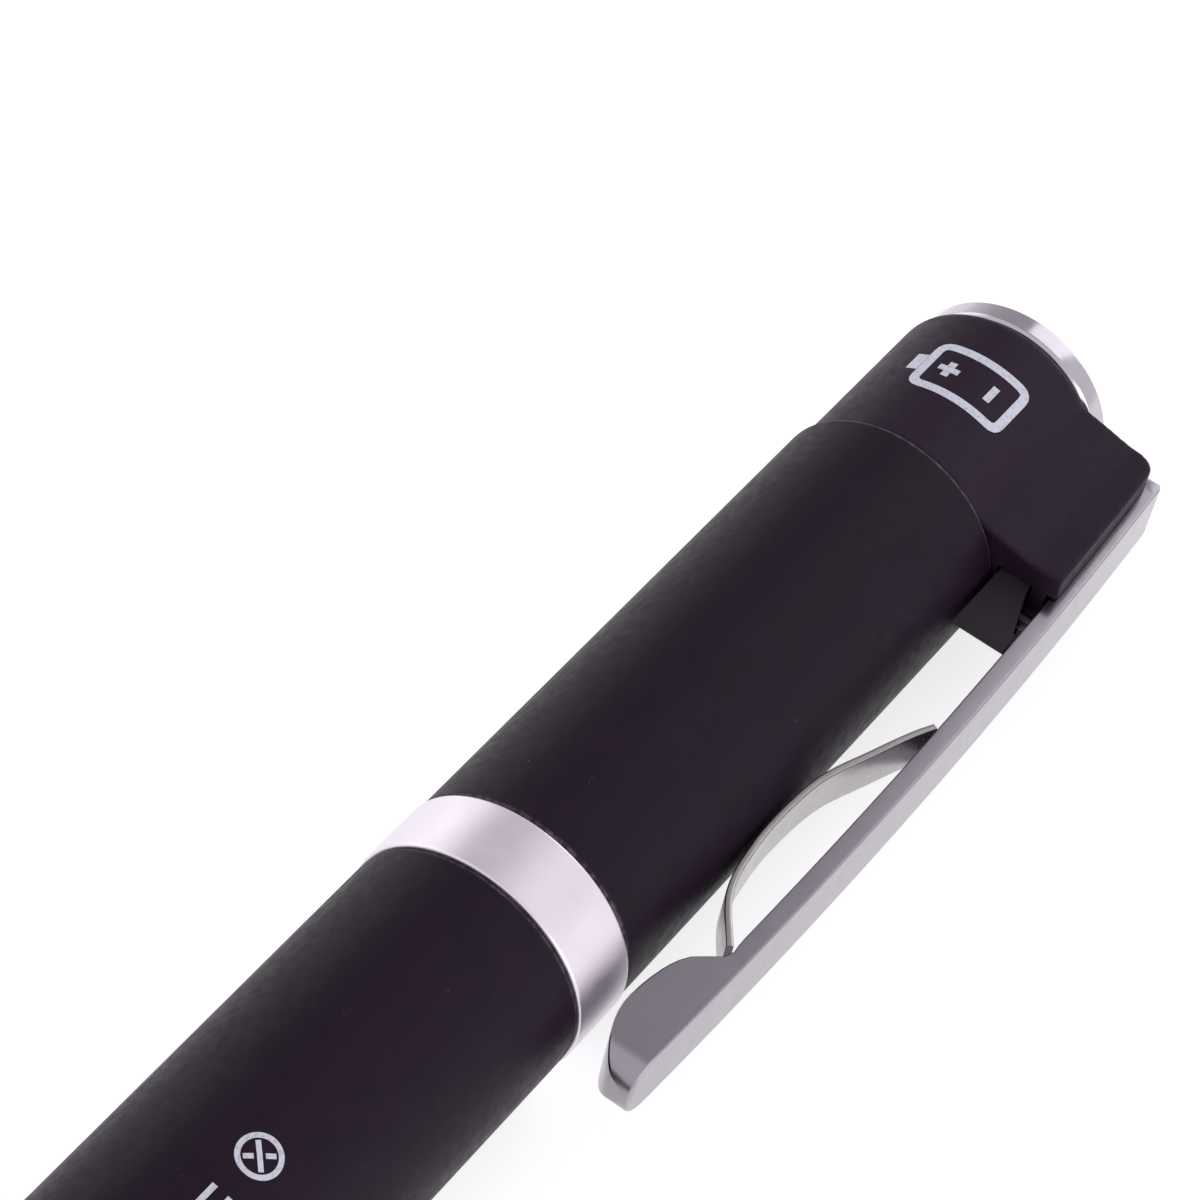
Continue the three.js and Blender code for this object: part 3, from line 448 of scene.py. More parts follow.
def moulding(name, dark, light, grain_depth=0.008, rough=(0.42, 0.56)):
    """Black moulded plastic with a fine spark-eroded grain and a little dust."""
    made, tree, shader = material(name, IOR=1.46, Specular_IOR_Level=0.14)
    tone = mixed(tree, noise(tree, 0.3, 4.0), dark, light)
    grain = noise(tree, 9.0, 3.0, 0.6)
    tone = mixed(tree, ranged(tree, grain, 0.0, 0.25), tone, [c * 1.9 for c in light])
    tone = mixed(tree, specks(tree, 1.9, 0.04, 0.3), tone, (0.15, 0.13, 0.15))
    connect(tree, tone, shader, "Base Color")
    connect(tree, ranged(tree, noise(tree, 1.1, 4.0), *rough), shader, "Roughness")
    bumped(tree, shader, grain, grain_depth)
    return made


def plated(name, colour, rough=(0.07, 0.16), lines=None, line_depth=0.0012):
    """Bright plating with faint smears, and fine turned or drawn lines along the given stretch."""
    made, tree, shader = material(name, Metallic=1.0)
    dull = [c * 0.9 for c in colour]
    tone = mixed(tree, noise(tree, 0.5, 5.0, 0.6), colour, dull)
    tone = mixed(tree, specks(tree, 1.4, 0.035, 0.25), tone, [c * 0.45 for c in colour])
    connect(tree, tone, shader, "Base Color")
    smear = noise(tree, 0.7, 6.0, 0.62)
    connect(tree, ranged(tree, smear, *rough), shader, "Roughness")
    if lines:
        bumped(tree, shader, noise(tree, 3.0, 3.0, 0.7, lines), line_depth)
    bumped(tree, shader, noise(tree, 0.35, 2.0), 0.0008)
    return made


def ink(name):
    """Pad-printed light grey ink, slightly thin in places."""
    made, tree, shader = material(name, IOR=1.45)
    cover = ranged(tree, noise(tree, 4.0, 4.0, 0.6), 0.0, 1.0, 0.3, 0.5)
    tone = mixed(tree, cover, (0.36, 0.36, 0.43), (0.54, 0.55, 0.64))
    connect(tree, tone, shader, "Base Color")
    connect(tree, ranged(tree, noise(tree, 6.0, 2.0), 0.42, 0.58), shader, "Roughness")
    bumped(tree, shader, noise(tree, 10.0, 2.0), 0.003)
    return made


def clear(name, colour, roughness=0.02):
    """Polished glass with a faint smear."""
    made, tree, shader = material(name, IOR=1.5, Transmission_Weight=1.0)
    tone = mixed(tree, noise(tree, 0.4, 3.0), colour, [c * 0.97 for c in colour])
    connect(tree, tone, shader, "Base Color")
    smear = ranged(tree, noise(tree, 0.8, 5.0), roughness, roughness + 0.03)
    connect(tree, smear, shader, "Roughness")
    return made


def sleeve_foil(name):
    """A cell's foil sleeve: blue, with a mottled silver band towards the positive end."""
    made, tree, shader = material(name, IOR=1.5, Coat_Weight=0.4, Coat_Roughness=0.15)
    quarters = [(3 * S[cell].x0 + S[cell].x1) / 4 for cell in ("battery_rear", "battery_front")]
    silver = maths(tree, "GREATER_THAN", near_places(tree, 0, world_x(quarters), 9), 0.2)
    tone = mixed(tree, silver, (0.07, 0.15, 0.22), (0.5, 0.52, 0.55))
    tone = mixed(tree, ranged(tree, noise(tree, 1.5, 4.0), 0.0, 0.25), tone, (0.02, 0.03, 0.05))
    connect(tree, tone, shader, "Base Color")
    connect(tree, ranged(tree, noise(tree, 1.0, 3.0), 0.28, 0.4), shader, "Roughness")
    bumped(tree, shader, noise(tree, 3.0, 3.0), 0.01)
    return made


BARRELS = (S["lower_barrel"], S["upper_barrel"])
BLACK_TUBE = lacquer("black_lacquer", world_x([end for tube in BARRELS for end in (tube.x0, tube.x1)]))
WARM_BLACKS = ((0.0105, 0.0042, 0.0122), (0.0165, 0.0085, 0.0182))
SLIDER_BLACKS = ((0.014, 0.011, 0.0145), (0.022, 0.018, 0.0225))
SPECULUM_GREYS = ((0.018, 0.018, 0.020), (0.028, 0.028, 0.030))
CAP_PLASTIC = moulding("cap_moulding", *WARM_BLACKS)
SLIDER_PLASTIC = moulding("slider_moulding", *SLIDER_BLACKS, 0.01, (0.5, 0.62))
HEAD_PLASTIC = moulding("head_moulding", *WARM_BLACKS, 0.012)
SPECULUM_PLASTIC = moulding("speculum_moulding", *SPECULUM_GREYS, 0.002, (0.2, 0.3))
RING_CHROME = plated("ring_chrome", (0.80, 0.74, 0.815), (0.38, 0.44), (6, 0.01, 0.01), 0.0002)
PLUG_CHROME = plated("plug_chrome", (0.52, 0.49, 0.535), (0.14, 0.22))
CLIP_CHROME = plated("clip_plating", (0.36, 0.335, 0.375), (0.2, 0.26))
SPRING_STEEL = plated("spring_steel", (0.44, 0.42, 0.43), (0.18, 0.3), (0.05, 4, 4), 0.002)
# Painted shade: the drive stud's steel is made near-black so that it reads as the shade under the clip.
STUD_STEEL_SHADE = plated("stud_steel_painted_shade", (0.09, 0.085, 0.09), (0.3, 0.42))
SATIN_METAL = plated("satin_metal", (0.62, 0.61, 0.63), (0.22, 0.34), (0.02, 5, 0.02), 0.003)
BRASS = plated("turned_brass", (0.68, 0.50, 0.24), (0.18, 0.34), (5, 0.02, 0.02), 0.003)
INK = ink("print_ink")
GLASS = clear("lens_glass", (0.97, 0.985, 0.98))
BULB_GLASS = clear("bulb_glass", (0.98, 0.97, 0.94))
FIBRE = clear("light_fibre", (0.93, 0.92, 0.86), 0.2)
CELL = sleeve_foil("cell_sleeve")
INSULATOR = moulding("insulator_moulding", (0.50, 0.46, 0.37), (0.60, 0.55, 0.45), 0.01)

# ---- Handle ----


def sleeve_outline(span, bore, edge, bore_edge=0.05):
    """The outline of a plain tube with rounded rims."""
    return rounded([
        (span.x0, bore, bore_edge),
        (span.x0, span.radius, edge),
        (span.x1, span.radius, edge),
        (span.x1, bore, bore_edge),
    ])


MOUNT_FLANGE = 1.3
RIM_ROUND = 0.4
PIN_RADIUS = 1.2


def lower_barrel(mesh):
    span = S["lower_barrel"]
    lip = NOSE_RADIUS + PRESS_GAP
    lip_end = S["head_mount"].x1 - MOUNT_FLANGE - PRESS_GAP
    seat = COLLAR_RADIUS + PRESS_GAP
    seat_start = S["thread_collar"].x0 - SEAM_GAP
    lathe(mesh, rounded([
        (span.x0, lip, 0.05),
        (span.x0, span.radius, RIM_ROUND),
        (span.x1, span.radius, RIM_ROUND),
        (span.x1, seat, 0.05),
        (seat_start, seat, 0),
        (seat_start, CELL_BORE, 0),
        (lip_end, CELL_BORE, 0),
        (lip_end, lip, 0),
    ]))


def thread_outline(start, end, inner, outer, bore, pitch, depth):
    """A tube from `inner` to `end` in place, with rounded thread crests from `start` on."""
    crests = []
    count = max(1, round((end - start) / pitch))
    step = (end - start) / count
    for i in range(count):
        for share in np.linspace(0, 1, 8, endpoint=False):
            swing = (1 - math.cos(2 * math.pi * share)) / 2
            crests.append((start + (i + share) * step, outer - depth + depth * swing))
    return [(inner, bore), (inner, outer)] + crests + [(end, outer - depth), (end, bore)]


def thread_collar(mesh):
    span = S["thread_collar"]
    start = S["mid_ring"].x1
    lathe(mesh, thread_outline(start, span.x1, span.x0, COLLAR_RADIUS, CELL_BORE, pitch=1.0, depth=0.22))


def battery(node):
    """A cell with a groove in its flat end and a button on its other end."""
    def build(mesh):
        span = S[node]
        groove = 6.1
        button = 2.75
        shoulder = span.x0 + 1.0
        lathe(mesh, rounded([
            (span.x1, 0, 0),
            (span.x1, groove - 0.5, 0.1),
            (span.x1 - 0.15, groove, 0.1),
            (span.x1, groove + 0.5, 0.15),
            (span.x1, span.radius, 0.4),
            (shoulder, span.radius, 0.5),
            (shoulder, button + 0.85, 0.1),
            (shoulder, button, 0.15),
            (span.x0, button, 0.3),
            (span.x0, 0, 0),
        ]), segments=MEDIUM)
    return build

def head_mount(mesh):
    span = S["head_mount"]
    flange = span.x1 - MOUNT_FLANGE
    bore = S["lamp_base"].radius + 0.7
    shank = S["lower_barrel"].x0 - 0.2
    ridges = thread_outline(span.x0 + 0.6, shank - 0.2, span.x0, NOSE_RADIUS, bore, pitch=1.3, depth=0.25)
    lathe(mesh, ridges[:-1] + [
        (shank, NOSE_RADIUS),
        (flange, NOSE_RADIUS),
        (flange, span.radius),
        (span.x1, span.radius),
        (span.x1, bore),
    ])


def contact_pin(mesh):
    span = S["contact_pin"]
    flange = 2 * PIN_RADIUS
    flange_start = span.x1 - 1.0
    lathe(mesh, rounded([
        (span.x1, 0, 0),
        (span.x1, flange, 0.2),
        (flange_start, flange, 0.2),
        (flange_start, PIN_RADIUS, 0.05),
        (span.x0 + 0.5, PIN_RADIUS, 0.3),
        (span.x0, PIN_RADIUS / 2, 0.2),
        (span.x0, 0, 0),
    ]), segments=COARSE)


def contact_disc(mesh):
    outline = sleeve_outline(S["contact_disc"], PIN_RADIUS + SLIDE_GAP, 0.2, 0.1)
    lathe(mesh, outline, segments=MEDIUM)


def mid_ring(mesh):
    lathe(mesh, sleeve_outline(S["mid_ring"], COLLAR_RADIUS + PRESS_GAP, 0.22))


piece("barrel_lower", lower_barrel, BLACK_TUBE, "handle", "black_paint", "lower_barrel")
piece("ring_middle", mid_ring, RING_CHROME, "handle", "chrome", "mid_ring")
piece("collar_threaded", thread_collar, BRASS, "handle", "brass", "thread_collar")
piece("cell_rear", battery("battery_rear"), CELL, "handle", "cell_sleeve", "battery_rear")
piece("cell_front", battery("battery_front"), CELL, "handle", "cell_sleeve", "battery_front")
piece("mount_head", head_mount, BRASS, "handle", "brass", "head_mount")
piece("pin_contact", contact_pin, BRASS, "handle", "brass", "contact_pin")
piece("disc_insulating", contact_disc, INSULATOR, "handle", "insulator", "contact_disc")

# ---- Tail section ----

SPIGOT_ROOM = 8.1
PLUG_SHANK_RADIUS = 4.9


def upper_barrel(mesh):
    span = S["upper_barrel"]
    thread_end = S["thread_collar"].x1 + SLIDE_GAP
    spigot = span.x1 - SPIGOT_ROOM
    lathe(mesh, rounded([
        (span.x0, THREAD_BORE, 0.05),
        (span.x0, span.radius, RIM_ROUND),
        (span.x1, span.radius, RIM_ROUND),
        (span.x1, THREAD_BORE, 0),
        (spigot, THREAD_BORE, 0),
        (spigot, CELL_BORE, 0),
        (thread_end, CELL_BORE, 0),
        (thread_end, THREAD_BORE, 0),
    ]))


# The clip is a strip on a large arc, and the switch slider lies between it and the barrel.
CLIP_THICKNESS = 1.35
CLIP_BOW_RADIUS = 625.0
CLIP_HALF_WIDTH = S["clip"].radius
CLIP_APEX_X = S["clip"].x0 + 29.7
CLIP_TAIL_X = S["clip"].x1 - 0.35
CLIP_TAIL_CORNER = 1.1
CLIP_END_ROUND = 1.05
SWITCH_TRAVEL = 3.5
SLIDER_LOW = BARREL_RADIUS + 0.3
SLIDER_HIGH = SLIDER_LOW + 2.4
STEM_START = CAP_START + 4.4
STEM_LENGTH = 2.6
STEM_HALF_WIDTH = 1.2
BLOCK_TAIL = CAP_END - 0.3
BLOCK_CORNER = 2.2
BLOCK_FOOT = 3
BLOCK_FOOT_HALF_WIDTH = 5.35


def clip_outer(x):
    return S["clip"].h1 - (x - CLIP_APEX_X) ** 2 / (2 * CLIP_BOW_RADIUS)


def clip_inner(x):
    return clip_outer(x) - CLIP_THICKNESS


def block_section():
    """The clip block across the handle: flat sides that flow out into the cap at its foot."""
    foot = BLOCK_FOOT_HALF_WIDTH
    top = clip_inner(CAP_START) + 2
    side = curve([(4.4, top), (4.42, 11.2), (4.62, 9.9), (4.92, 8.6), (foot, 6.5)], 24)
    right = [(h, z) for z, h in side]
    return right + [(0, foot), (0, -foot)] + [(h, -z) for h, z in reversed(right)]


def block_side():
    """The clip block from the side, with its rounded tail corner."""
    tail = BLOCK_TAIL
    wall_top = [(x, clip_inner(x) + 0.5) for x in np.linspace(CAP_START, tail - BLOCK_CORNER - 0.4, 12)]
    corner = rounded([
        (*wall_top[-1], 0),
        (tail, clip_inner(tail) + 0.42, BLOCK_CORNER),
        (tail, CAP_RADIUS - 0.4, 0),
    ], steps=12)
    return wall_top + corner[1:] + [(tail, BLOCK_FOOT), (CAP_START, BLOCK_FOOT)]


def tail_cap():
    """The cap with its spigot, bored out for the cell, the plug, the clip and the slider."""
    span = S["tail_cap"]
    shell = turned(rounded([
        (CAP_START, 0, 0),
        (CAP_START, CAP_RADIUS, 0.15),
        (CAP_END, CAP_RADIUS, 0.7),
        (CAP_END, 0, 0),
    ]))
    clip_block = extruded(block_side(), -CAP_RADIUS, CAP_RADIUS)
    combined(clip_block, "INTERSECT", extruded(block_section(), CAP_START - 1, span.x1 + 1, "x"))
    body = moulded(combined(shell, "UNION", clip_block), 0.14, 5)
    body = combined(body, "UNION", cylinder(span.x0, CAP_START + 1, THREAD_BORE - SEAM_GAP))
    bore_end = S["insulator_bush"].x1 + SLIDE_GAP
    stations = np.linspace(CAP_START - 1, span.x1 + 2, 16)
    floor_line = [(x, clip_inner(x + SWITCH_TRAVEL) - SLIDE_GAP) for x in stations]
    channel = floor_line + [(span.x1 + 2, 20), (CAP_START - 1, 20)]
    half_channel = CLIP_HALF_WIDTH + SLIDE_GAP
    slider = S["clip_slider"]
    stem_start, stem_end = STEM_START - SWITCH_TRAVEL - 0.4, STEM_START + STEM_LENGTH + 0.4
    return combined(
        body, "DIFFERENCE",
        cylinder(0, bore_end, CELL_BORE),
        cylinder(bore_end - 1, span.x1 + 1, PLUG_SHANK_RADIUS + PRESS_GAP),
        extruded(channel, -half_channel, half_channel),
        block(CAP_START - 1, slider.x1 + 0.4, SLIDER_LOW - 0.2, SLIDER_HIGH + 0.2, slider.z1 + 0.2),
        block(stem_start, stem_end, BLOCK_FOOT, 9.5, STEM_HALF_WIDTH + 0.2),
    )


def tail_plug(mesh):
    span = S["tail_plug"]
    face = span.x1
    under = CAP_END + PRESS_GAP
    neck = 7.0
    rim = 7.8
    dish = face - 0.08
    lathe(mesh, rounded([
        (span.x0, 0, 0),
        (span.x0, PLUG_SHANK_RADIUS, 0.2),
        (under, PLUG_SHANK_RADIUS, 0),
        (under, neck, 0),
        (face - 2.0, neck, 0),
        (face - 2.0, rim - 0.25, 0.08),
        (face - 1.75, rim, 0.1),
        (face - 0.3, rim, 0.12),
        (face, rim - 0.3, 0.15),
        (face, rim - 0.9, 0.1),
        (dish, rim - 1.3, 0.2),
        (dish, 0, 0),
    ]))


def insulator_bush(mesh):
    span = S["insulator_bush"]
    pocket = S["spring_cup"].radius + SEAM_GAP
    pocket_end = span.x1 - 2.1
    hole = 2
    lathe(mesh, rounded([
        (span.x0, pocket, 0.1),
        (span.x0, span.radius, 0.15),
        (span.x1, span.radius, 0.15),
        (span.x1, hole, 0.1),
        (pocket_end, hole, 0.1),
        (pocket_end, pocket, 0.1),
    ]), segments=MEDIUM)


piece("barrel_upper", upper_barrel, BLACK_TUBE, "tail_section", "black_paint", "upper_barrel")
piece("cap_tail", tail_cap(), CAP_PLASTIC, "tail_section", "black_plastic", "tail_cap")
piece("plug_tail", tail_plug, PLUG_CHROME, "tail_section", "chrome", "tail_plug")
piece("bush_insulating", insulator_bush, INSULATOR, "tail_section", "insulator", "insulator_bush")

# ---- Clip and grip spring ----


def clip_underside(x):
    """The clip's lower face, which drops to a rounded toe at its free end."""
    toe = S["clip"].x0
    low = S["clip"].h0
    points = curve([
        (toe, clip_outer(toe) - 0.35),
        (toe + 0.5, low + 1.95),
        (toe + 2.1, low + 0.75),
        (toe + 4.6, low),
        (toe + 7.9, low + 0.3),
        (toe + 10.2, low + 1.15),
        (toe + 11.9, clip_inner(toe + 11.9) - 0.02),
        (toe + 13.5, clip_inner(toe + 13.5)),
    ], 80)
    if x > points[-1][0]:
        return clip_inner(x)
    return float(np.interp(x, points[:, 0], points[:, 1]))


def clip(mesh):
    """The strip, with a half-round free end and rounded corners at its tail."""
    span = S["clip"]
    end = CLIP_HALF_WIDTH
    turns = np.linspace(0.02, math.pi / 2, 22)
    nose = [span.x0 + end * (1 - math.cos(t)) for t in turns]
    heel = [CLIP_TAIL_X - CLIP_TAIL_CORNER * (1 - math.cos(t)) for t in reversed(turns)]
    stations = nose + list(np.linspace(nose[-1], heel[0], 90))[1:-1] + heel
    sections = []
    for x in stations:
        corner = end if x < span.x else CLIP_TAIL_CORNER
        from_end = min(x - span.x0, CLIP_TAIL_X - x, corner)
        half = end - corner + math.sqrt(corner ** 2 - (corner - from_end) ** 2)
        near = max(0.0, CLIP_END_ROUND - (CLIP_TAIL_X - x))
        low = clip_underside(x)
        high = clip_outer(x) - CLIP_END_ROUND + math.sqrt(CLIP_END_ROUND ** 2 - near ** 2)
        edge = min(0.16, 0.45 * half, 0.45 * (high - low))
        sections.append([(x, h, z) for h, z in rounded_box(low, -half, high, half, edge, 3)])
    loft(mesh, sections)


def swept(mesh, path, section):
    """A section of (across, z) along a path of (x, h)."""
    run = np.gradient(path, axis=0)
    run /= np.linalg.norm(run, axis=1)[:, None]
    loft(mesh, [[(x - dh * a, h + dx * a, z) for a, z in section] for (x, h), (dx, dh) in zip(path, run)])


def bow_spring(mesh):
    """A thin strip that bows from the clip down to just above the barrel and back."""
    span = S["clip_bow_spring"]
    half = 0.25
    half_width = 1.7
    low = span.h0 + half
    roof = clip_inner(span.x1) - SEAM_GAP - half - low
    path = curve([
        (10.95, low + roof - 0.35), (14.6, low + 0.95), (18.6, low + 0.12), (22.6, low),
        (26.6, low + 0.42), (30.5, low + 1.75), (33.6, low + roof - 0.85), (35.3, low + roof - 0.05),
    ], 120)
    swept(mesh, path, rounded_box(-half, -half_width, half, half_width, 0.12, 3))


piece("clip_bar", clip, CLIP_CHROME, "clip_arm", "chrome", "clip")
piece("spring_grip", bow_spring, SPRING_STEEL, "clip_arm", "spring_steel", "clip_bow_spring")

# ---- Head, lamp and lens, and the small parts of the tail ----

FRONT_H = S["speculum_seat"].h1 - 1.0
REAR_H = S["head_housing"].h1
CONE_TIP_H = S["speculum_seat"].h0
PIVOT_X = S["lens_pivot_screw"].x
PORT_X, PORT_H = S["insufflation_port"].x, S["insufflation_port"].h
OPTIC = (OPTIC_X, 0)
PIVOT = (PIVOT_X, 0)
HEAD_RADIUS = 10.7
CHAMBER_DEPTH = 7
CHAMBER_RADIUS = 6.3
WINDOW_RADIUS = 6.2
LENS_POCKET_RADIUS = 7.0
LAYER_STEP = 0.55
SEAT_SHANK_RADIUS = 5.5
SEAT_SHANK_LENGTH = 1.0
FIBRE_RADIUS = 0.93
BULB_RADIUS = 2.3
PORT_SHANK_RADIUS = 1.6
PORT_BORE_RADIUS = 0.7
SCREW_RADIUS = 1.0
SCREW_HEAD_RADIUS = 1.9
LUG_RADIUS = 3.1


def cone_radius(h):
    """Outer radius of the speculum seat's cone."""
    return 5.7 - 2.15 * (FRONT_H - h) / (FRONT_H - CONE_TIP_H)


def tube(mesh, points, radius):
    """A round bar along a path of (x, h) in the plane z = 0."""
    swept(mesh, curve(points, 60), circle(0, 0, radius, 32))


def fibre_path(end):
    span = S["fibre_bundle"]
    x = span.x0 + 0.95
    return [(span.x1, 0), (x + 1.5, 0), (x + 0.4, -0.4), (x, -1.5), (x, end)]


def head_collar(mesh):
    """A ring with a shallow groove round its middle."""
    span = S["head_collar"]
    bore = NOSE_RADIUS + SLIDE_GAP
    groove = span.radius - 0.18
    lathe(mesh, rounded([
        (span.x0, bore, 0.05),
        (span.x0, span.radius, 0.35),
        (span.x - 0.35, span.radius, 0.08),
        (span.x - 0.2, groove, 0.05),
        (span.x + 0.2, groove, 0.05),
        (span.x + 0.35, span.radius, 0.08),
        (span.x1, span.radius, 0.35),
        (span.x1, bore, 0.05),
    ]))


def head_housing():
    """A drum across the handle, its neck and the lens's lug, bored out for what goes inside."""
    neck_tail = S["head_collar"].x0 - SEAM_GAP
    neck_end = neck_tail - 13
    half = S["head_housing"].z1
    reach = 3 * HEAD_RADIUS
    shell = turned(rounded([
        (REAR_H, 0, 0),
        (REAR_H, HEAD_RADIUS, 1.3),
        (FRONT_H + 12, HEAD_RADIUS, 1.2),
        (FRONT_H + 9, HEAD_RADIUS - 0.3, 1.2),
        (FRONT_H + 4.5, 8.5, 1.5),
        (FRONT_H, 6.6, 0.3),
        (FRONT_H, 0, 0),
    ]), "h", OPTIC)
    neck_line = curve([
        (neck_tail, 8.45), (neck_tail - 2.5, 8.3), (neck_tail - 6, 7.6), (neck_end + 3, 7.0),
        (neck_end, 6.9), (neck_end - 2, 7.1),
    ], 40)
    neck_outline = [(OPTIC_X, 0), (neck_tail, 0)] + [tuple(point) for point in neck_line] + [(OPTIC_X, 8.2)]
    lug = cylinder(REAR_H, REAR_H - CHAMBER_DEPTH, LUG_RADIUS, "h", PIVOT, COARSE)
    body = combined(shell, "UNION", turned(neck_outline), lug)
    flats = block(OPTIC_X - reach, OPTIC_X + reach, -reach, reach, half)
    body = moulded(combined(body, "INTERSECT", flats), 0.24, 4)
    mount, socket, fibres = S["head_mount"], S["lamp_socket"], S["fibre_bundle"]
    ring_bore = cone_radius(FRONT_H) - 2 * LAYER_STEP + PRESS_GAP
    seat_room = FRONT_H + SEAT_SHANK_LENGTH + SLIDE_GAP
    chamber_end = REAR_H - CHAMBER_DEPTH
    optics = [
        (REAR_H + 1, 0),
        (REAR_H + 1, CHAMBER_RADIUS),
        (chamber_end, CHAMBER_RADIUS),
        (chamber_end - 2, ring_bore),
        (seat_room, ring_bore),
        (seat_room, SEAT_SHANK_RADIUS + SEAM_GAP),
        (FRONT_H - 1, SEAT_SHANK_RADIUS + SEAM_GAP),
        (FRONT_H - 1, 0),
    ]
    return combined(
        body, "DIFFERENCE",
        cylinder(mount.x0 - SLIDE_GAP, neck_tail + 1, NOSE_RADIUS + SLIDE_GAP),
        cylinder(socket.x0 - SLIDE_GAP, neck_tail, socket.radius + PRESS_GAP),
        cylinder(fibres.x1 - SLIDE_GAP, socket.x0, BULB_RADIUS + SLIDE_GAP),
        shape(lambda mesh: tube(mesh, fibre_path(seat_room), 1.1)),
        turned(optics, "h", OPTIC),
        cylinder(0, half + 1, PORT_SHANK_RADIUS + PRESS_GAP, "z", (PORT_X, PORT_H), COARSE),
        cylinder(REAR_H + 1, REAR_H - 6, SCREW_RADIUS + SEAM_GAP, "h", PIVOT, COARSE),
    )


def speculum_seat(mesh):
    """A hollow cone on a flange, with a short shank in the housing."""
    inner = cone_radius(FRONT_H) - 0.5
    shank_end = FRONT_H + SEAT_SHANK_LENGTH
    flange = 6.3
    flange_rear = FRONT_H - SEAM_GAP
    flange_front = flange_rear - 1.0
    tip = cone_radius(CONE_TIP_H)
    lathe(mesh, rounded([
        (shank_end, inner, 0.05),
        (shank_end, SEAT_SHANK_RADIUS, 0.1),
        (flange_rear, SEAT_SHANK_RADIUS, 0.05),
        (flange_rear, flange, 0.15),
        (flange_front, flange, 0.15),
        (flange_front, cone_radius(FRONT_H - 1), 0.2),
        (CONE_TIP_H, tip, 0.15),
        (CONE_TIP_H, tip - 0.5, 0.1),
        (FRONT_H, inner, 0.05),
    ]), "h", OPTIC)


def inner_cone(node, step, wall):
    """A thin cone inside the seat's, `step` less in radius."""
    def build(mesh):
        span = S[node]
        wide, narrow = cone_radius(FRONT_H) - step, cone_radius(CONE_TIP_H) - step
        lathe(mesh, rounded([
            (span.h1, wide, 0.05),
            (FRONT_H, wide, 0.3),
            (span.h0, narrow, 0.1),
            (span.h0, narrow - wall, 0.1),
            (FRONT_H, wide - wall, 0.3),
            (span.h1, wide - wall, 0.05),
        ]), "h", OPTIC, MEDIUM)
    return build


def ear_speculum(mesh):
    """A thin funnel over the seat, with a ribbed rim."""
    base, tip = S["ear_speculum"].h1, S["ear_speculum"].h0
    seat_end = CONE_TIP_H - 0.3
    rim = base - 2.6
    rim_radius = 7.4
    room = 0.3
    outside = room + 0.55

    def grip(angle, place, radius):
        """Fine ribs round the rim."""
        ribbed = rim < place < base - 0.1 and radius > rim_radius - 0.4
        return radius - (0.07 * (1 + math.cos(36 * angle)) if ribbed else 0)

    outer = curve([
        (rim - 0.8, cone_radius(rim) + outside), (seat_end, cone_radius(seat_end) + outside),
        (tip + 12, 2.95), (tip + 7, 2.35), (tip + 0.5, 2.02),
    ], 44)
    lathe(mesh, rounded([
        (base, cone_radius(base) + room, 0.1),
        (base, rim_radius, 0.25),
        (base - 0.4, rim_radius, 0.05),
        (rim + 0.3, rim_radius - 0.25, 0.1),
        (rim, rim_radius - 0.35, 0.25),
    ]) + [tuple(point) for point in outer] + rounded([
        (tip, 1.95, 0.25),
        (tip, 1.45, 0.15),
        (tip + 7, 1.75, 0.5),
        (seat_end, cone_radius(seat_end) + room, 0.3),
    ]), "h", OPTIC, 180, grip)


def lens_frame():
    """A round frame with an arm that turns on the pivot screw."""
    front, rear = S["lens_frame"].h0, S["lens_frame"].h1
    rim = 8.7
    arm_end = 2.6
    arm_rear = rear - 0.9
    ring = turned(rounded([(front, 0, 0), (front, rim, 0.35), (rear, rim, 0.9), (rear, 0, 0)]), "h", OPTIC)
    turns = np.linspace(math.pi / 2, 3 * math.pi / 2, 40)
    arm_outline = [(PIVOT_X + arm_end * math.cos(t), arm_end * math.sin(t)) for t in turns]
    arm_outline += [(PIVOT_X + 3, -3.6), (PIVOT_X + 3, 3.6)]
    body = moulded(combined(ring, "UNION", extruded(arm_outline, front, arm_rear, "h")), 0.16, 3)
    return combined(
        body, "DIFFERENCE",
        cylinder(front - 1, rear + 1, WINDOW_RADIUS, "h", OPTIC),
        cylinder(front + 1, rear + 1, LENS_POCKET_RADIUS, "h", OPTIC),
        cylinder(front - 1, rear + 1, SCREW_RADIUS + SLIDE_GAP, "h", PIVOT, COARSE),
        cylinder(arm_rear, rear + 1, SCREW_HEAD_RADIUS + SLIDE_GAP, "h", PIVOT, COARSE),
    )


def lens(mesh):
    """A flat rim with a bulge on each side."""
    span = S["lens"]
    rim = 0.4
    bulge = 0.75
    bulge_radius = 6.0
    dome = [(rim + bulge * (1 - share ** 2), share * bulge_radius) for share in np.linspace(0, 1, 24)]
    near = [(span.h - away, radius) for away, radius in reversed(dome)]
    far = [(span.h + away, radius) for away, radius in dome]
    lathe(mesh, far + [(span.h + rim, span.radius), (span.h - rim, span.radius)] + near, "h", OPTIC)


def flat_ring(node, bore, centre, edge=0.1):
    def build(mesh):
        span = S[node]
        outline = rounded_box(span.h0, bore, span.h1, span.radius, edge, 5)
        lathe(mesh, outline, "h", centre, MEDIUM)
    return build


def pivot_screw():
    """A slotted cheese-head screw."""
    span = S["lens_pivot_screw"]
    under_head = span.h1 - 0.85
    screw = turned(rounded([
        (span.h0, 0, 0),
        (span.h0, SCREW_RADIUS, 0.2),
        (under_head, SCREW_RADIUS, 0.05),
        (under_head, SCREW_HEAD_RADIUS, 0.08),
        (span.h1 - 0.2, SCREW_HEAD_RADIUS - 0.02, 0.15),
        (span.h1, SCREW_HEAD_RADIUS - 0.35, 0.2),
        (span.h1, 0, 0),
    ]), "h", PIVOT, MEDIUM)
    slot = block(PIVOT_X - 2.5, PIVOT_X + 2.5, span.h1 - 0.4, span.h1 + 0.5, 0.25)
    return combined(screw, "DIFFERENCE", slot)


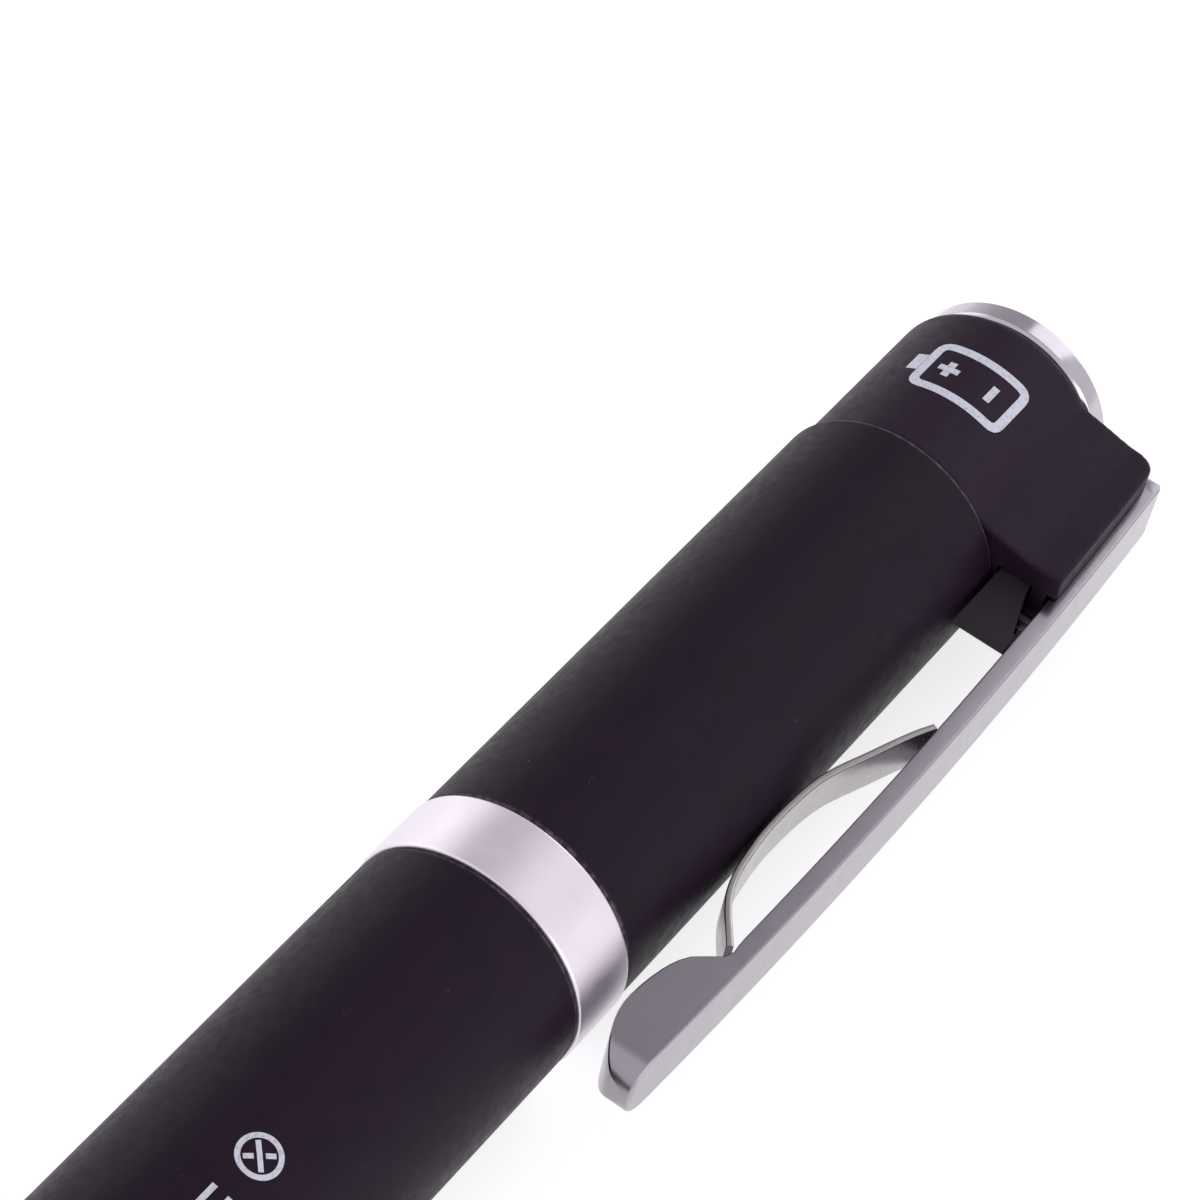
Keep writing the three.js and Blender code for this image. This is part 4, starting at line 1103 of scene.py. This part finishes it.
def insufflation_port(mesh):
    span = S["insufflation_port"]
    foot, top = span.z0, span.z1
    face = S["head_housing"].z1
    lathe(mesh, rounded([
        (foot, PORT_BORE_RADIUS, 0.1),
        (foot, PORT_SHANK_RADIUS, 0.15),
        (face + PRESS_GAP, PORT_SHANK_RADIUS, 0),
        (face + PRESS_GAP, 2.8, 0.1),
        (face + 1.2, 2.6, 0.25),
        (face + 1.5, 1.5, 0.3),
        (top - 2, 1.5, 0.2),
        (top - 1.95, 2.2, 0.1),
        (top, 1.4, 0.15),
        (top, PORT_BORE_RADIUS, 0.15),
    ]), "z", (PORT_X, PORT_H), MEDIUM)


def lamp_base(mesh):
    span = S["lamp_base"]
    tip = 1.2
    shoulder = span.x1 - 1.1
    lathe(mesh, rounded([
        (span.x1, 0, 0),
        (span.x1, tip, 0.3),
        (shoulder, tip, 0.1),
        (shoulder, span.radius, 0.3),
        (span.x0, span.radius, 0.3),
        (span.x0, 0, 0),
    ]), segments=COARSE)


def lamp_bulb(mesh):
    span = S["lamp_bulb"]
    radius = BULB_RADIUS
    turns = np.linspace(0, math.pi / 2, 20)
    dome = [(span.x0 + radius * (1 - math.cos(t)), radius * math.sin(t)) for t in turns]
    lathe(mesh, dome + [(span.x1, radius), (span.x1, 0)], segments=COARSE)


def spring_cup(mesh):
    span = S["spring_cup"]
    inside = span.radius - 0.35
    floor_face = span.x1 - 0.7
    lathe(mesh, rounded([
        (span.x1, 0, 0),
        (span.x1, span.radius, 0.25),
        (span.x0, span.radius, 0.1),
        (span.x0, inside, 0.1),
        (floor_face, inside, 0.2),
        (floor_face, 0, 0),
    ]), segments=MEDIUM)


def clip_slider():
    """The switch slider: a thin cheek reaches ahead of its body, and a stem goes down into the cap."""
    span = S["clip_slider"]
    side = span.z1
    inner_side = side - 0.75
    tip, tail = span.x0, span.x1
    body_head = CAP_START - 2.4
    outline = rounded([
        (tip, SLIDER_LOW, 0.15), (tail, SLIDER_LOW, 0.1), (tail, SLIDER_HIGH, 0.1),
        (CAP_START - 0.3, SLIDER_HIGH, 0.3), (tip + 1.3, clip_inner(tip + 1.3) - 0.1, 0.3),
        (tip, clip_inner(tip) - 0.1, 0.15),
    ], 4)
    plan = [
        (tip, side), (tip + 0.6, inner_side), (body_head, inner_side), (body_head, -side),
        (tail + 1, -side), (tail + 1, side),
    ]
    made = combined(extruded(outline, -side - 1, side + 1), "INTERSECT", extruded(plan, 5, 15, "h"))
    stem = block(STEM_START, STEM_START + STEM_LENGTH, span.h0, SLIDER_LOW + 1, STEM_HALF_WIDTH)
    combined(made, "UNION", stem)
    stud = S["clip_drive_stud"]
    hole = cylinder(stud.h0 - SLIDE_GAP, 15, stud.radius + SLIDE_GAP, "h", (stud.x, 0), 48)
    return softened(combined(made, "DIFFERENCE", hole), 0.12)


def fibre_bundle(mesh):
    tube(mesh, fibre_path(S["fibre_bundle"].h0), FIBRE_RADIUS)


light_cone = inner_cone("light_cone", LAYER_STEP, 0.5)
viewing_tube = inner_cone("viewing_tube", 2 * LAYER_STEP, 0.35)
retaining_ring = flat_ring("lens_retainer", WINDOW_RADIUS, OPTIC)
washer = flat_ring("pivot_washer", SCREW_RADIUS + SEAM_GAP, PIVOT, 0.04)
for name, made, finish, body, slot, node in (
    ("collar_head", head_collar, RING_CHROME, "head", "chrome", "head_collar"),
    ("housing_head", head_housing(), HEAD_PLASTIC, "head", "black_plastic", "head_housing"),
    ("seat_speculum", speculum_seat, SATIN_METAL, "head", "satin_metal", "speculum_seat"),
    ("cone_light", light_cone, FIBRE, "head", "light_fibre", "light_cone"),
    ("tube_viewing", viewing_tube, BLACK_TUBE, "head", "black_paint", "viewing_tube"),
    ("port_insufflation", insufflation_port, SATIN_METAL, "head", "satin_metal", "insufflation_port"),
    ("base_lamp", lamp_base, SPRING_STEEL, "head", "spring_steel", "lamp_base"),
    ("bulb_lamp", lamp_bulb, BULB_GLASS, "head", "clear_glass", "lamp_bulb"),
    ("bundle_fibre", fibre_bundle, FIBRE, "head", "light_fibre", "fibre_bundle"),
    ("speculum_ear", ear_speculum, SPECULUM_PLASTIC, "speculum", "speculum_plastic", "ear_speculum"),
    ("frame_lens", lens_frame(), HEAD_PLASTIC, "lens_mount", "black_plastic", "lens_frame"),
    ("glass_lens", lens, GLASS, "lens_mount", "clear_glass", "lens"),
    ("ring_retaining", retaining_ring, BLACK_TUBE, "lens_mount", "black_paint", "lens_retainer"),
    ("screw_pivot", pivot_screw(), SATIN_METAL, "lens_mount", "satin_metal", "lens_pivot_screw"),
    ("washer_pivot", washer, SATIN_METAL, "lens_mount", "satin_metal", "pivot_washer"),
    ("cup_spring", spring_cup, BRASS, "tail_section", "brass", "spring_cup"),
    ("slider_clip", clip_slider(), SLIDER_PLASTIC, "switch_slider", "black_plastic", "clip_slider"),
):
    piece(name, made, finish, body, slot, node)

# ---- CAD nodes that keep their shape ----

for node, finish in {
    "slider_contact": BRASS,
    "switch_contact": BRASS,
    # The stud's near-black colour is painted shade for the gap under the clip.
    "clip_drive_stud": STUD_STEEL_SHADE,
    "contact_pin_spring": SPRING_STEEL,
    "battery_spring": SPRING_STEEL,
    "lamp_socket": BRASS,
}.items():
    held = frame["nodes"][node]
    held.data.materials.clear()
    held.data.materials.append(finish)
    softened(held, 0.1, 2)

# ---- Prints ----

INK_FOOT = 0.003
INK_TOP = 0.014


def print_strokes(mesh, strokes, radius, x_middle, angle_middle):
    """Flat ribbons on the handle's surface.

    A stroke is its points (u along the handle, v round it), its width and whether it closes."""
    for points, width, closed in strokes:
        dense = []
        ends = points + points[:1] if closed else points
        for (a, b), (c, d) in zip(ends, ends[1:]):
            count = max(1, math.ceil(math.hypot(c - a, d - b) / 0.2))
            dense += [(a + (c - a) * k / count, b + (d - b) * k / count) for k in range(count)]
        if not closed:
            dense.append(ends[-1])
        rings = []
        for i, (u, v) in enumerate(dense):
            before = dense[i - 1] if closed or i else dense[i]
            after = dense[(i + 1) % len(dense)] if closed or i + 1 < len(dense) else dense[i]
            first = Vector((u - before[0], v - before[1]))
            second = Vector((after[0] - u, after[1] - v))
            first = first.normalized() if first.length else second.normalized()
            second = second.normalized() if second.length else first
            side = Vector((-(first + second).y, (first + second).x)).normalized()
            reach = width / 2 / max(0.5, side.dot(Vector((-first.y, first.x))))
            ring = []
            for sign, lift in ((-1, INK_FOOT), (1, INK_FOOT), (1, INK_TOP), (-1, INK_TOP)):
                angle = angle_middle + (v + sign * reach * side.y) / radius
                r = radius + lift
                x = x_middle + u + sign * reach * side.x
                ring.append(mesh.verts.new(to_world((x, r * math.cos(angle), r * math.sin(angle)))))
            rings.append(ring)
        skin(mesh, rings, closed)
        if not closed:
            mesh.faces.new(rings[0])
            mesh.faces.new(list(reversed(rings[-1])))


# A battery on the cap, and a lamp, direct current and two cells on the barrel.
CAP_PRINT = [
    (rounded_box(-2.3, -3.9, 2.3, 3.3, 0.8), 0.72, True),
    ([(-0.9, 4.15), (0.9, 4.15)], 0.9, False),
    ([(0.0, 0.75), (0.0, 2.35)], 0.55, False),
    ([(-0.8, 1.55), (-0.3, 1.55)], 0.55, False),
    ([(0.3, 1.55), (0.8, 1.55)], 0.55, False),
    ([(-0.8, -2.0), (0.8, -2.0)], 0.55, False),
]
BARREL_PRINT = [
    (circle(0, 0, 1.35), 0.36, True),
    ([(-0.72, -0.72), (0.72, 0.72)], 0.34, False),
    ([(-0.72, 0.72), (-0.26, 0.26)], 0.34, False),
    ([(0.26, -0.26), (0.72, -0.72)], 0.34, False),
    ([(-6.3, 0.7), (-3.3, 0.7)], 0.4, False),
    ([(-6.3, -0.5), (-5.6, -0.5)], 0.4, False),
    ([(-5.15, -0.5), (-4.45, -0.5)], 0.4, False),
    ([(-4.0, -0.5), (-3.3, -0.5)], 0.4, False),
    (rounded_box(-13.2, -1.1, -8.2, 1.1, 0.3), 0.36, True),
    ([(-7.75, -0.45), (-7.75, 0.45)], 0.4, False),
    ([(-10.7, -0.85), (-10.7, 0.85)], 0.3, False),
]
CAP_PRINT_PLACE = (57.8, math.radians(92))
BARREL_PRINT_PLACE = (-25.0, math.radians(76))
piece("print_cap", lambda mesh: print_strokes(mesh, CAP_PRINT, CAP_RADIUS, *CAP_PRINT_PLACE),
      INK, "tail_section", "black_plastic")
piece("print_barrel", lambda mesh: print_strokes(mesh, BARREL_PRINT, BARREL_RADIUS, *BARREL_PRINT_PLACE),
      INK, "handle", "black_paint")

# ---- Floor, light and camera ----


FLOOR_HALF_WIDTH = 1.2
FLOOR_GLOW = 0.72


def floor():
    """A pale sheet that glows a little, so that it stays white behind the handle."""
    made, tree, shader = material("pale_floor", Emission_Strength=FLOOR_GLOW, Roughness=0.8)
    tone = mixed(tree, noise(tree, 0.02, 3.0), (0.44, 0.435, 0.445), (0.47, 0.465, 0.475))
    connect(tree, tone, shader, "Base Color")
    shader.inputs["Emission Color"].default_value = (1, 1, 1, 1)
    mesh = bmesh.new()
    bmesh.ops.create_grid(mesh, x_segments=8, y_segments=8, size=FLOOR_HALF_WIDTH)
    data = bpy.data.meshes.new("floor")
    mesh.to_mesh(data)
    mesh.free()
    data.materials.append(made)
    plane = bpy.data.objects.new("floor", data)
    bpy.context.scene.collection.objects.link(plane)


# The way the barrel's top and the clip's side face mirror, towards which the room is darkest.
DARK_CORNER = (0.599, 0.280, 0.750)
ROOM_TONE = (0.93, 0.915, 0.945, 1)
CORNER_TONE = (0.52, 0.50, 0.53, 1)


def world():
    """An evenly bright room with one darker corner."""
    made = bpy.data.worlds.new("studio")
    made.use_nodes = True
    tree = made.node_tree
    inputs = {0: add(tree, "TexCoord").outputs["Generated"], 1: DARK_CORNER}
    towards = add(tree, "VectorMath", inputs, operation="DOT_PRODUCT").outputs["Value"]
    ramp = add(tree, "ValToRGB", {0: towards})
    ramp.color_ramp.interpolation = "EASE"
    stops = ramp.color_ramp.elements
    stops[0].position, stops[0].color = 0.62, ROOM_TONE
    stops[1].position, stops[1].color = 0.95, CORNER_TONE
    background = tree.nodes["Background"]
    tree.links.new(ramp.outputs[0], background.inputs["Color"])
    background.inputs["Strength"].default_value = 1.0
    bpy.context.scene.world = made


def softbox(name, place, width, height, power, tint=(1, 1, 1)):
    """An area light at a place relative to ORIGIN in millimetres, facing it."""
    light = bpy.data.lights.new(name, "AREA")
    light.shape = "RECTANGLE"
    light.size, light.size_y = width * MM, height * MM
    light.energy = power
    light.color = tint
    made = bpy.data.objects.new(name, light)
    made.location = ORIGIN + Vector(place) * MM
    made.rotation_mode = "QUATERNION"
    made.rotation_quaternion = (-Vector(place)).to_track_quat("-Z", "Y")
    bpy.context.scene.collection.objects.link(made)


def camera():
    azimuth = math.radians(CAMERA_AZIMUTH)
    elevation = math.radians(CAMERA_ELEVATION)
    roll = math.radians(CAMERA_ROLL)
    back = Vector((
        math.cos(elevation) * math.cos(azimuth),
        math.cos(elevation) * math.sin(azimuth),
        math.sin(elevation),
    ))
    level = Vector((0, 0, 1)).cross(back).normalized()
    upright = back.cross(level)
    right = math.cos(roll) * level + math.sin(roll) * upright
    up = back.cross(right)
    data = bpy.data.cameras.new("camera")
    data.lens = CAMERA_LENS
    data.sensor_width = SENSOR_WIDTH
    data.clip_start = 0.01
    made = bpy.data.objects.new("camera", data)
    turn = Matrix((right, up, back)).transposed().to_4x4()
    made.matrix_world = Matrix.Translation(ORIGIN + Vector(CAMERA_PLACE) * MM) @ turn
    bpy.context.scene.collection.objects.link(made)
    bpy.context.scene.camera = made


floor()
world()
softbox("side_box", (60, 420, 160), 500, 260, 0.35)
softbox("tail_box", (420, -60, 220), 260, 400, 0.4)
softbox("clip_box", (-60, -420, 140), 500, 200, 0.5, (1.0, 0.97, 1.0))
camera()
bpy.context.scene.view_settings.view_transform = "Standard"
